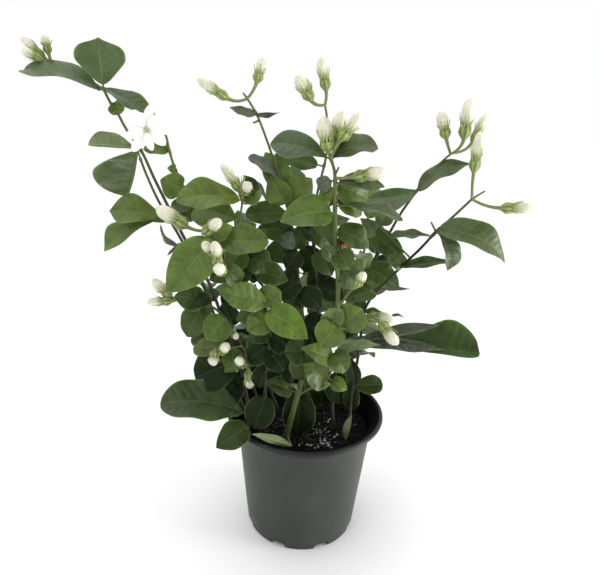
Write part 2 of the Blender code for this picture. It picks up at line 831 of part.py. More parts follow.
def spray_leaf(name, route, spray, seed):
    """A leaf that the photograph hides, set by the way it points."""
    draw = random.Random(name)
    root, _ = point_at(route, spray.at)
    aim = math.radians(spray.aim + draw.uniform(-10, 10))
    rise = math.radians(spray.rise - SPRAY_DROOP + draw.uniform(-24, 24))
    long = spray.long * draw.uniform(0.86, 1.1)
    flat = Vector((math.cos(aim), math.sin(aim), 0))
    foot = root + flat * 7 + Vector((0, 0, 2))
    tip = foot + (flat * math.cos(rise) + Vector((0, 0, math.sin(rise)))) * long
    axis = (tip - foot).normalized()
    normal = (Vector((0, 0, 1)) - axis * axis.z).normalized()
    normal = Matrix.Rotation(math.radians(draw.uniform(-42, 42)), 3, axis) @ normal
    arch = draw.uniform(3, 8)
    shape = (long * SPRAY_SHAPE, arch, 0.42, TIP_SHARPNESS)
    return leaf(name, root, foot, tip, normal, *shape, seed)


def calyx(name, root, cup, tip):
    """A flower stalk that widens into a calyx with a crown of teeth round a flat seat."""
    axis = (tip - cup).normalized()
    length = (tip - cup).length
    reach = (cup - root).length
    bend = cup - axis * (0.5 * reach)
    rings = []
    first = None
    for t in (0, 0.5) if reach > LONG_PEDICEL else (0,):
        point = root * (1 - t) ** 2 + bend * (2 * t * (1 - t)) + cup * t * t
        along = (bend - root) * (1 - t) + (cup - bend) * t
        points, first = ring(point, along, PEDICEL_RADIUS, TOOTH_COUNT, first)
        rings.append(points)
    points, first = ring(cup - axis * 2.5, axis, PEDICEL_RADIUS * 1.3, TOOTH_COUNT, first)
    rings.append(points)
    rim, first = ring(cup, axis, CALYX_RADIUS, TOOTH_COUNT, first)
    seat, _ = ring(cup, axis, CALYX_RADIUS - 0.6, TOOTH_COUNT, first)
    bm = bmesh.new()
    rows = [[bm.verts.new(point * MM) for point in points] for points in rings + [rim, seat]]
    for low, high in zip(rows[:-2], rows[1:-1]):
        for i in range(TOOTH_COUNT):
            j = (i + 1) % TOOTH_COUNT
            bm.faces.new((low[i], low[j], high[j], high[i]))
    bm.faces.new(rows[0][::-1])
    bm.faces.new(rows[-1])
    tooth = min(8, max(4.5, 0.34 * length))
    for i in range(TOOTH_COUNT):
        j = (i + 1) % TOOTH_COUNT
        outward = ((rim[i] + rim[j]) / 2 - cup).normalized()
        apex = bm.verts.new((cup + outward * (CALYX_RADIUS + 0.22 * tooth) + axis * tooth) * MM)
        corners = (rows[-2][i], rows[-2][j], rows[-1][j], rows[-1][i])
        for start, end in zip(corners, corners[1:] + corners[:1]):
            bm.faces.new((start, end, apex))
    return mesh_object(name, bm)


def bud_places(routes, bud):
    root = nearest_in_sight(routes, bud.foot)
    cup = sight(bud.cup, root.y - bud.near[0])
    tip = sight(bud.tip, root.y - bud.near[1])
    return root, cup, tip


def corolla_bud(name, cup, tip, wide):
    """A closed white bud: its tube stands on the calyx and swells to a furled head."""
    axis = tip - cup
    length = axis.length
    swell = min(0.6, TUBE_RADIUS / 2)
    profile = (
        (COROLLA_GAP / length, TUBE_RADIUS),
        (0.40, TUBE_RADIUS + swell),
        (0.66, wide / 2),
        (0.87, wide / 2 * 0.82),
    )
    rings = []
    first = None
    for share, radius in profile:
        points, first = ring(cup + axis * share, axis, radius, BUD_SIDES, first)
        rings.append(points)
    bm = bmesh.new()
    loft(bm, rings, tip=tip)
    obj = mesh_object(name, bm)
    finish(obj, BUD_CREAM, 0.5)
    return obj


def flower_places(routes):
    """The open flower's stalk root, its calyx and its throat."""
    root = nearest_in_sight(routes, FLOWER_CUP)
    cup = sight(FLOWER_CUP, root.y - FLOWER_CUP_NEAR)
    facing = (EYE - cup).normalized()
    toward = sight(FLOWER_FACE, root.y - FLOWER_CUP_NEAR - FLOWER_TUBE_LENGTH)
    face = (toward - cup).normalized() * 0.8 + facing * 0.2
    return root, cup, cup + face.normalized() * FLOWER_TUBE_LENGTH


def open_flower(cup, throat):
    """The open flower: a slim tube and two layers of oblong petals."""
    axis = (throat - cup).normalized()
    rings = []
    first = None
    for share, radius in ((COROLLA_GAP / FLOWER_TUBE_LENGTH, 1.2), (0.75, 1.3), (1, 2.2), (1.08, 2.2)):
        points, first = ring(cup + (throat - cup) * share, axis, radius, BUD_SIDES, first)
        rings.append(points)
    bm = bmesh.new()
    loft(bm, rings)
    body = mesh_object("flower_open", bm)
    across = first
    beside = axis.cross(first)
    petals = []
    for i in range(PETAL_COUNT):
        inner = i % 2
        angle = math.tau * i / PETAL_COUNT
        out = across * math.cos(angle) + beside * math.sin(angle)
        rise = PETAL_RISE * (1.9 if inner else 0.6)
        reach = PETAL_LENGTH * (0.8 if inner else 1)
        foot = throat + axis * (0.6 if inner else -0.4)
        tip = foot + (out * math.cos(rise) + axis * math.sin(rise)) * reach
        normal = (axis * math.cos(rise) - out * math.sin(rise)).normalized()
        root = foot + out * 1.3
        shape = (PETAL_WIDTH, -1.5, 0.5, PETAL_SHARPNESS)
        petals.append(leaf(f"petal{i}", root, root, tip, normal, *shape, i))
    return combine(body, petals, "UNION")


def is_closed(mesh):
    bm = bmesh.new()
    bm.from_mesh(mesh)
    closed = all(edge.is_manifold for edge in bm.edges)
    bm.free()
    return closed


def combine(body, pieces, operation):
    """Joins pieces to a body, or cuts them out of it, and leaves one closed mesh."""
    group = bpy.data.collections.new("with " + body.name)
    bpy.context.scene.collection.children.link(group)
    for piece in pieces:
        bpy.context.collection.objects.unlink(piece)
        group.objects.link(piece)
    boolean = body.modifiers.new("combine", "BOOLEAN")
    boolean.operation = operation
    boolean.operand_type = "COLLECTION"
    boolean.collection = group
    for solver in ("EXACT", "MANIFOLD"):
        boolean.solver = solver
        graph = bpy.context.evaluated_depsgraph_get()
        mesh = bpy.data.meshes.new_from_object(body.evaluated_get(graph))
        if is_closed(mesh):
            break
    body.modifiers.clear()
    body.data = mesh
    for piece in list(group.objects):
        bpy.data.objects.remove(piece)
    bpy.data.collections.remove(group)
    return body


def finish(obj, colour, roughness, metallic=0.0):
    material = bpy.data.materials.new(obj.name)
    material.use_nodes = True
    shader = material.node_tree.nodes["Principled BSDF"]
    shader.inputs["Base Color"].default_value = colour
    shader.inputs["Roughness"].default_value = roughness
    shader.inputs["Metallic"].default_value = metallic
    obj.data.materials.clear()
    obj.data.materials.append(material)


def cane_pieces(name):
    """The solids that grow together into one cane: stem first, then all that it bears."""
    cane = CANES[name]
    routes = cane_routes(cane, ROUTE_STEP)
    thick_low, thick_high = cane.thick
    stem = tube(name, run_past(routes[0]), thick_low / 2, thick_high / 2, 5)
    pieces = []
    for i, route in enumerate(routes[1:]):
        twig = run_past(route)
        pieces.append(tube(f"{name}_twig{i}", twig, thick_high * 0.48, thick_high * 0.4, 4))
    for i, blade in enumerate(BLADES.get(name, ())):
        pieces.append(blade_leaf(f"{name}_blade{i}", routes, blade, i))
    for i, spray in enumerate(SPRAYS.get(name, ())):
        pieces.append(spray_leaf(f"{name}_spray{i}", routes[0], spray, i))
    for i, bud in enumerate(BUDS.get(name, ())):
        root, cup, tip = bud_places(routes, bud)
        pieces.append(calyx(f"{name}_calyx{i}", root, cup, tip))
    for i, spent in enumerate(SPENT.get(name, ())):
        root, cup, tip = bud_places(routes, spent)
        pieces.append(calyx(f"{name}_spent{i}", root, cup, tip))
    for i, stub in enumerate(STUBS.get(name, ())):
        root = nearest_in_sight(routes, stub.foot)
        end = sight(stub.end, root.y - stub.near[1])
        pieces.append(tube(f"{name}_stub{i}", [root, end], 0.9, 0.8, 4))
    if name == FLOWER_CANE:
        root, cup, throat = flower_places(routes)
        pieces.append(calyx(f"{name}_calyx", root, cup, throat))
    return stem, pieces


def make_canes():
    for name in CANES:
        stem, pieces = cane_pieces(name)
        combine(stem, pieces, "UNION")
        finish(stem, LEAF_GREEN, 0.45)


def make_buds():
    """Each white bud is a piece of its own, seated on its calyx."""
    for name, buds in BUDS.items():
        routes = cane_routes(CANES[name], ROUTE_STEP)
        short = name.split("_", 1)[1]
        for i, bud in enumerate(buds):
            _, cup, tip = bud_places(routes, bud)
            corolla_bud(f"bud_{short}_{i + 1}", cup, tip, bud.wide)


def make_flower():
    _, cup, throat = flower_places(cane_routes(CANES[FLOWER_CANE], ROUTE_STEP))
    finish(open_flower(cup, throat), PETAL_WHITE, 0.5)


def pot_radius(z, inside=False):
    """The pot wall's radius at a height, outside or inside."""
    share = z / (POT_HEIGHT - POT_LIP_HEIGHT)
    radius = POT_FOOT_RADIUS + (POT_NECK_RADIUS - POT_FOOT_RADIUS) * share
    return radius - POT_WALL if inside else radius


def turned(name, profile, sides):
    """A solid of revolution from (radius, height) points that begin and end on the axis."""
    bm = bmesh.new()
    verts = [bm.verts.new((radius * MM, 0, z * MM)) for radius, z in profile]
    edges = [bm.edges.new(pair) for pair in zip(verts, verts[1:])]
    bmesh.ops.spin(
        bm,
        geom=verts + edges,
        cent=(0, 0, 0),
        axis=(0, 0, 1),
        angle=math.tau,
        steps=sides,
        use_merge=True,
    )
    bmesh.ops.remove_doubles(bm, verts=bm.verts, dist=1e-6)
    return mesh_object(name, bm)


def block(name, size, place, turn):
    bm = bmesh.new()
    bmesh.ops.create_cube(bm, size=1)
    bmesh.ops.scale(bm, vec=Vector(size) * MM, verts=bm.verts)
    bmesh.ops.translate(bm, vec=Vector(place) * MM, verts=bm.verts)
    bmesh.ops.rotate(bm, cent=(0, 0, 0), matrix=Matrix.Rotation(turn, 3, "Z"), verts=bm.verts)
    return mesh_object(name, bm)


def make_pot():
    neck = POT_HEIGHT - POT_LIP_HEIGHT
    profile = [
        (0, 0),
        (POT_FOOT_RADIUS - 1, 0),
        (POT_FOOT_RADIUS, 1),
        (POT_NECK_RADIUS, neck - 3),
        (POT_NECK_RADIUS + 2.5, neck),
        (POT_LIP_RADIUS - 0.7, neck),
        (POT_LIP_RADIUS, neck + 0.7),
        (POT_LIP_RADIUS, POT_HEIGHT - 1),
        (POT_LIP_RADIUS - 1, POT_HEIGHT),
        (POT_NECK_RADIUS + 3, POT_HEIGHT),
        (POT_NECK_RADIUS - POT_WALL, neck - 3),
        (pot_radius(POT_FLOOR, inside=True), POT_FLOOR),
        (0, POT_FLOOR),
    ]
    pot = turned("pot", profile, POT_SIDES)
    drains = []
    for i in range(DRAIN_COUNT):
        turn = math.tau * (i + 0.5) / DRAIN_COUNT - math.pi / 2
        place = (POT_FOOT_RADIUS - DRAIN_REACH / 2 + 2, 0, DRAIN_HEIGHT / 2 - 1)
        size = (DRAIN_REACH, DRAIN_WIDTH, DRAIN_HEIGHT + 2)
        drains.append(block(f"drain{i}", size, place, turn))
    combine(pot, drains, "DIFFERENCE")
    pot.data.shade_smooth()
    pot.data.set_sharp_from_angle(angle=math.radians(35))
    finish(pot, POT_GREY, 0.45)


def make_soil():
    """The soil fills the pot to below its lip, with a crumbly top and a hole for each cane."""
    draw = random.Random(11)
    low = POT_FLOOR + SOIL_CLEARANCE
    bm = bmesh.new()
    rows = []
    bottom = pot_radius(low, inside=True) - SOIL_CLEARANCE
    top = pot_radius(SOIL_TOP, inside=True) - SOIL_CLEARANCE
    for radius, z in [(bottom, low), (top, SOIL_TOP - SOIL_RELIEF)]:
        row = []
        for i in range(SOIL_SIDES):
            angle = math.tau * i / SOIL_SIDES
            row.append(bm.verts.new(Vector((radius * math.cos(angle), radius * math.sin(angle), z)) * MM))
        rows.append(row)
    for k in range(SOIL_RINGS - 1, 0, -1):
        radius = top * k / SOIL_RINGS
        row = []
        for i in range(SOIL_SIDES):
            angle = math.tau * (i + 0.5 * (k % 2)) / SOIL_SIDES
            z = SOIL_TOP + draw.uniform(-SOIL_RELIEF, SOIL_RELIEF)
            row.append(bm.verts.new(Vector((radius * math.cos(angle), radius * math.sin(angle), z)) * MM))
        rows.append(row)
    for lower, upper in zip(rows, rows[1:]):
        for i in range(SOIL_SIDES):
            j = (i + 1) % SOIL_SIDES
            bm.faces.new((lower[i], lower[j], upper[j]))
            bm.faces.new((lower[i], upper[j], upper[i]))
    bm.faces.new(rows[0][::-1])
    bm.faces.new(rows[-1])
    bmesh.ops.triangulate(bm, faces=bm.faces)
    soil = mesh_object("soil", bm)
    holes = []
    for name, cane in CANES.items():
        radius = (cane.thick[0] / 2 + STEM_HOLE_CLEARANCE) / math.cos(math.pi / 6)
        bm = bmesh.new()
        bottom_ring, _ = ring(Vector((*cane.base, SOIL_TOP - STEM_HOLE_DEPTH)), Vector((0, 0, 1)), radius, 6)
        top_ring, _ = ring(Vector((*cane.base, SOIL_TOP + 9)), Vector((0, 0, 1)), radius, 6)
        loft(bm, [bottom_ring, top_ring])
        holes.append(mesh_object("hole_" + name, bm))
    combine(soil, holes, "DIFFERENCE")
    finish(soil, SOIL_BROWN, 0.95)


def main():
    for obj in list(bpy.data.objects):
        bpy.data.objects.remove(obj)
    make_pot()
    make_soil()
    make_canes()
    make_buds()
    make_flower()


if __name__ == "__main__":
    main()
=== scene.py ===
"""Looks of a potted arabian jasmine: a nursery pot of dark soil, leafy canes, cream buds
seated in green calyces, and one open white flower.

The canes, leaves and buds are placed by sight: a pixel of the photograph and a depth give a
place in space. Lengths in the tables are in millimetres until a mesh is made, which is in
metres. The origin is on the ground under the middle of the pot, with +Z up and the camera
towards -Y. Every piece takes the place of the CAD nodes that it names.
"""

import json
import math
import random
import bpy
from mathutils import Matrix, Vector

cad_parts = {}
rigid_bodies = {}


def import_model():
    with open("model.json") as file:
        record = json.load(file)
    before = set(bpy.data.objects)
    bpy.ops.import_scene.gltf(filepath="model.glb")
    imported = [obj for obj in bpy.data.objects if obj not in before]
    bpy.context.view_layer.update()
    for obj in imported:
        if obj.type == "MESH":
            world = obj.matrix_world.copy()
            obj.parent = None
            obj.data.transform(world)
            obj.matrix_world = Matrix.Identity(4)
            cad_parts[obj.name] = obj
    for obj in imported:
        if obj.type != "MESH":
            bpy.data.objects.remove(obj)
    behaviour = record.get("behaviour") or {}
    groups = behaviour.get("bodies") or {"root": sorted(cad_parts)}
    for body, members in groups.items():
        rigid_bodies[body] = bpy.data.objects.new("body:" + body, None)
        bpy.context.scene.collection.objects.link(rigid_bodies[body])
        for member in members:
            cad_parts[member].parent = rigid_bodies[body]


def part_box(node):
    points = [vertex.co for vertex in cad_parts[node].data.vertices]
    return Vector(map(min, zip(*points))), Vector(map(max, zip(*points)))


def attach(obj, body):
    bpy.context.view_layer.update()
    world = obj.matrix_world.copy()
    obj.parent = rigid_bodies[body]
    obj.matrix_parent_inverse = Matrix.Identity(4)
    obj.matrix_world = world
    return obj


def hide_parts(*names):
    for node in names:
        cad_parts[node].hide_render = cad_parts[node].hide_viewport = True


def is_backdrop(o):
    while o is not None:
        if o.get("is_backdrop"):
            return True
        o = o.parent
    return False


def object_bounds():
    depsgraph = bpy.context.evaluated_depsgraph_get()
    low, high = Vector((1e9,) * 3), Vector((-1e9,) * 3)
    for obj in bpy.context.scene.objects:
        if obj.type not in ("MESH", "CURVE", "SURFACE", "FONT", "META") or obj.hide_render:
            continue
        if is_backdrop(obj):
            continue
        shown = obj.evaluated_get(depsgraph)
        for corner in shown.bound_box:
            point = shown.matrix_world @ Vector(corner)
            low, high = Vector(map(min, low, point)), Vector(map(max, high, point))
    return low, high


bl_info = {
    "name": "Potted Arabian Jasmine",
    "version": (1, 0, 0),
    "blender": (4, 5, 0),
    "location": "View3D > Sidebar > Jasmine",
    "description": "Grows a potted arabian jasmine with leaves, buds and an open flower",
    "category": "Add Mesh",
}

from collections import namedtuple
from functools import cached_property

import bmesh
import bpy
from bpy.props import FloatProperty, FloatVectorProperty, IntProperty, PointerProperty
from mathutils import Matrix, Vector, noise

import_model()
CAD_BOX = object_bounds()

MM = 0.001
SEAM = 1e-6
TINY = 1e-9
X_AXIS = Vector((1, 0, 0))
Y_AXIS = Vector((0, 1, 0))
Z_AXIS = Vector((0, 0, 1))

# Pot and soil, in mm apart from the heights that its material reads
POT_LIP_RADIUS = 500 * (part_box("pot")[1][0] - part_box("pot")[0][0])
POT_HEIGHT = 1000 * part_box("pot")[1][2]
POT_FOOT_RADIUS = 50
POT_NECK_RADIUS = 60.5
POT_LIP_HEIGHT = 4
POT_WALL = 2
POT_FLOOR = 3
POT_SHARP = 40
LIP_SHADE = (0.1005, 0.1030)
DUST_HEIGHT = 0.018
DRAIN_COUNT = 8
DRAIN_WIDTH = 13
DRAIN_HEIGHT = 4.5
DRAIN_REACH = 9
DRAIN_ROUND = 2.2
SOIL_TOP = 97
SOIL_CLEARANCE = 0.35
SOIL_RELIEF = 2.2
SOIL_WAVES = ((0.09, 1), (0.35, 0.45), (1.1, 0.25))
SOIL_RINGS = 40
STEM_HOLE_DEPTH = 26
LUMP_INSET = 3
CRUMB_SIZES = (0.7, 2.3)
CRUMB_SEED = 17
GRAIN_SIZES = (0.35, 1.5)
GRAIN_SEED = 29
WASHED_SHARE = 0.75
WASHED_SPOT = Vector((17, -24, 0))
WASHED_SPREAD = (9, 15)

# The photograph's camera: where it stands, how it is turned, and its frame in pixels
EYE = Vector((-9, -400, 351))
EYE_PITCH = math.radians(17.4)
EYE_ROLL = math.radians(2.4)
FOCAL_PX = 500
FRAME_PX = (600, 575)
SENSOR_WIDTH = 36

# The stage, in metres: the floor's reach, the lamps, and the ways to the sun and to the room
FLOOR_REACH = 40
LIGHT_AIM = Vector((0, 0, 0.22))
KEY_SPOT = Vector((-0.8, -1.0, 1.5))
KEY_SIZE = 0.9
SIDE_SPOT = Vector((1.1, -0.2, 0.22))
SIDE_SIZE = 0.4
SUN_WAY = Vector((-0.25, 0.15, 1))
SUN_SPREAD = math.radians(50)
ROOM_WAY = Vector((0, -0.5, 0.87))
ROOM_EDGE = (0.72, 0.97)

# Canes and leaves
ROUTE_STEP = 3
ROUTE_START = 6
CANE_SIDES = 12
TWIG_SIDES = 9
TWIG_YOUTH = 0.8
NODE_SWELL = 0.45
NODE_LENGTH = 1.8
PEG_RADIUS = 0.9
PETIOLE_RADIUS = 0.8
PETIOLE_STEP = 1.6
FOOT_SHARPNESS = 0.62
TIP_SHARPNESS = 0.92
BLUNT_TIP = 0.5
BLADE_COLUMN = 3.8
BLADE_ROW = 1.2
VEIN_SLANT = 0.62
VEIN_OFFSET = 0.35
GROOVE_DEPTH = 0.35
GROOVE_WIDTH = 0.9
RIDGE_HEIGHT = 0.45
RIDGE_WIDTH = 0.8
SPRAY_DROOP = 20
SPRAY_ARCHES = (3, 8)
SPRAY_SHAPE = 0.58
SPRAY_REACH = 7
SPRAY_LIFT = 2

# Calyces and buds
PEDICEL_RADIUS = 1.2
CALYX_RADIUS = 2.3
CALYX_NECK = 1.3
CALYX_UNDER = 2.6
CALYX_TOP = 9
CALYX_TO_BUD_WIDTH = 0.52
CALYX_TO_BUD_LENGTH = 0.27
CALYX_RIBS = 7
RIB_HEIGHT = 0.05
CALYX_STEPS = 8
OPEN_CALYX_TOP = 0.4
TOOTH_RADIUS = 0.62
TOOTH_STEPS = 7
TOOTH_TO_BUD_LENGTH = 0.66
TOOTH_LENGTHS = (4, 18)
OPEN_TOOTH = 9
COROLLA_GAP = 0.35
TUBE_RADIUS = 1.25
FOLD_COUNT = 5
FOLD_HEIGHT = 0.13
BUD_SWELL = (0.10, 0.56)
BUD_HEAD = 0.66
BUD_ROWS = 26

# The open flower: its throat and the way it faces, in the photograph, and its petals
FLOWER_CANE = "cane_flower"
FLOWER_CUP = (150.5, 130)
FLOWER_FACE = (145.5, 129.5)
FLOWER_CUP_NEAR = 4
FLOWER_CALYX_WIDTH = 3
PETAL_COUNT = 9
PETAL_WALL = 0.16
PETAL_RIPPLE = 0.35
STAMEN_HEIGHTS = (-1.2, 0.2, 1.0)

LEAF_FIELDS = "foot tip wide near look turn arch belly sharp ripple lop"
LEAF_DEFAULTS = ((0, 0), "green", 0, 4, 0.42, TIP_SHARPNESS, 1, 0)
Blade = namedtuple("Blade", LEAF_FIELDS, defaults=LEAF_DEFAULTS)
Bud = namedtuple("Bud", "foot cup tip wide near", defaults=((0, 0),))
Cane = namedtuple("Cane", "base thick route twigs youth", defaults=((), 0.15))
Peg = namedtuple("Peg", "foot end near", defaults=(0,))
Spray = namedtuple("Spray", "at aim long rise", defaults=(15,))


def sight(px, depth):
    """The place at this depth (Y, in mm) on the line of sight through a photo pixel."""
    x = (px[0] - FRAME_PX[0] / 2) / FOCAL_PX
    y = (px[1] - FRAME_PX[1] / 2) / FOCAL_PX
    across = x * math.cos(EYE_ROLL) + y * math.sin(EYE_ROLL)
    down = y * math.cos(EYE_ROLL) - x * math.sin(EYE_ROLL)
    ahead = math.cos(EYE_PITCH) - down * math.sin(EYE_PITCH)
    up = -math.sin(EYE_PITCH) - down * math.cos(EYE_PITCH)
    ray = Vector((across, ahead, up))
    return EYE + ray * ((depth - EYE.y) / ray.y)


# Each cane: its foot in the soil and its thickness at the soil and at the top (mm), its route
# up as (photo x, photo y, depth), and its side twigs as more routes. youth makes its bark green.
CANES = {
    "cane_left_tall": Cane(
        base=(-46, -13), thick=(3.8, 1.9),
        route=[
            (248, 404, -13), (240, 365, -10), (230, 338, -8), (221, 314, -6), (209, 283, -5),
            (187, 243, -5), (170, 210, -6), (155, 180, -7), (143, 154, -8), (133, 139, -8),
            (125, 127, -8), (118, 114, -8), (110, 102, -8), (103, 88, -8),
        ],
        twigs=[
            [(102, 89, -8), (85, 76, 0), (66, 67, 2), (51, 61, 2)],
        ],
    ),
    "cane_left_leafy": Cane(
        base=(-49, -6), thick=(3.8, 1.9),
        route=[
            (241, 402, -8), (232, 366, -3), (222, 336, 2), (213, 312, 6), (203, 285, 7),
            (184, 245, 6), (171, 222, 5), (158, 200, 4), (147, 176, 2), (140, 158, 0),
        ],
    ),
    "cane_flower": Cane(
        base=(-26, 14), thick=(3.6, 1.7),
        route=[
            (270, 388, 16), (259, 340, 16), (244, 300, 14), (226, 262, 10), (205, 222, 6),
            (191, 198, 4), (181, 182, 2), (174, 166, 0), (169, 149, -4), (166, 136, -8),
            (160, 130, -13), (152, 129, -19),
        ],
    ),
    "cane_left_middle": Cane(
        base=(-12, 20), thick=(3.6, 1.6),
        route=[
            (285, 375, 22), (281, 330, 20), (274, 300, 16), (258, 280, 10), (245, 256, 2),
            (239, 232, -6), (241, 212, -10), (243, 198, -13),
        ],
    ),
    "cane_middle": Cane(
        base=(0, 6), thick=(3.8, 1.7),
        route=[
            (303, 380, 8), (302, 340, 10), (300, 300, 14), (297, 265, 17), (295, 242, 19),
            (290, 220, 20), (286, 200, 20), (279, 177, 20), (271, 152, 20), (262, 127, 20),
            (256, 113, 20), (247, 98, 20),
        ],
    ),
    "cane_middle_back": Cane(
        base=(14, 26), thick=(3.6, 1.7),
        route=[
            (322, 370, 28), (320, 330, 28), (317, 290, 28), (314, 250, 28), (314, 215, 28),
            (318, 190, 28), (325, 162, 28), (328, 138, 28), (327, 118, 28), (325, 105, 28),
        ],
    ),
    "cane_front": Cane(
        base=(-15, -30), thick=(5.4, 2), youth=0.75,
        route=[
            (291, 418, -33), (297, 397, -38), (303, 375, -44), (313, 352, -49), (326, 334, -53),
            (336, 314, -55), (338, 288, -54), (336, 250, -52), (335, 212, -50), (335, 176, -48),
            (331, 159, -47), (329, 153, -47),
        ],
        twigs=[
            [(300, 394, -38), (309, 389, -44), (321, 384, -49), (331, 372, -53), (336, 357, -55)],
            [(341, 304, -55), (347, 295, -57), (352, 289, -59)],
        ],
    ),
    "cane_right_upper": Cane(
        base=(26, -10), thick=(3.8, 1.8),
        route=[
            (332, 405, -8), (336, 370, -4), (344, 335, 0), (352, 310, 4), (360, 288, 6),
            (371, 266, 8), (384, 243, 10), (398, 218, 11), (408, 203, 12), (419, 188, 12),
            (433, 171, 12), (447, 157, 12), (453, 153, 12),
        ],
    ),
    "cane_right_low": Cane(
        base=(38, -25), thick=(3, 2), youth=-0.35,
        route=[
            (350, 413, -24), (353, 385, -22), (358, 357, -20), (361, 334, -18), (365, 309, -16),
            (377, 291, -14), (389, 279, -13), (402, 266, -12), (420, 249, -11), (436, 232, -10),
            (455, 215, -9), (472, 199, -8),
        ],
    ),
    "shoot_left_front": Cane(
        base=(-34, -30), thick=(3.4, 1.8),
        route=[
            (264, 410, -33), (267, 372, -39), (270, 340, -44), (268, 316, -47), (262, 301, -48),
            (250, 291, -48), (236, 282, -46), (225, 268, -44), (214, 246, -42), (203, 231, -40),
        ],
    ),
    "shoot_left_low": Cane(
        base=(-37, 1), thick=(3.2, 1.7),
        route=[
            (256, 395, -4), (249, 370, -14), (242, 348, -22), (232, 328, -26), (218, 311, -28),
            (204, 303, -29), (190, 300, -29), (179, 299, -29),
        ],
        twigs=[
            [(241, 346, -23), (231, 348, -34), (222, 352, -40)],
        ],
    ),
    "cane_back_left": Cane(
        base=(-32, 34), thick=(4, 2),
        route=[
            (266, 372, 40), (256, 335, 48), (246, 295, 55), (240, 258, 60), (236, 232, 62),
        ],
    ),
    "cane_back_middle": Cane(
        base=(2, 44), thick=(4, 2),
        route=[
            (303, 360, 52), (302, 320, 62), (304, 280, 70), (308, 240, 76), (310, 205, 80),
            (309, 180, 80),
        ],
    ),
    "cane_back_right": Cane(
        base=(40, 24), thick=(4, 2),
        route=[
            (345, 370, 34), (350, 335, 42), (357, 300, 50), (362, 265, 56), (366, 238, 60),
            (368, 215, 62),
        ],
    ),
}

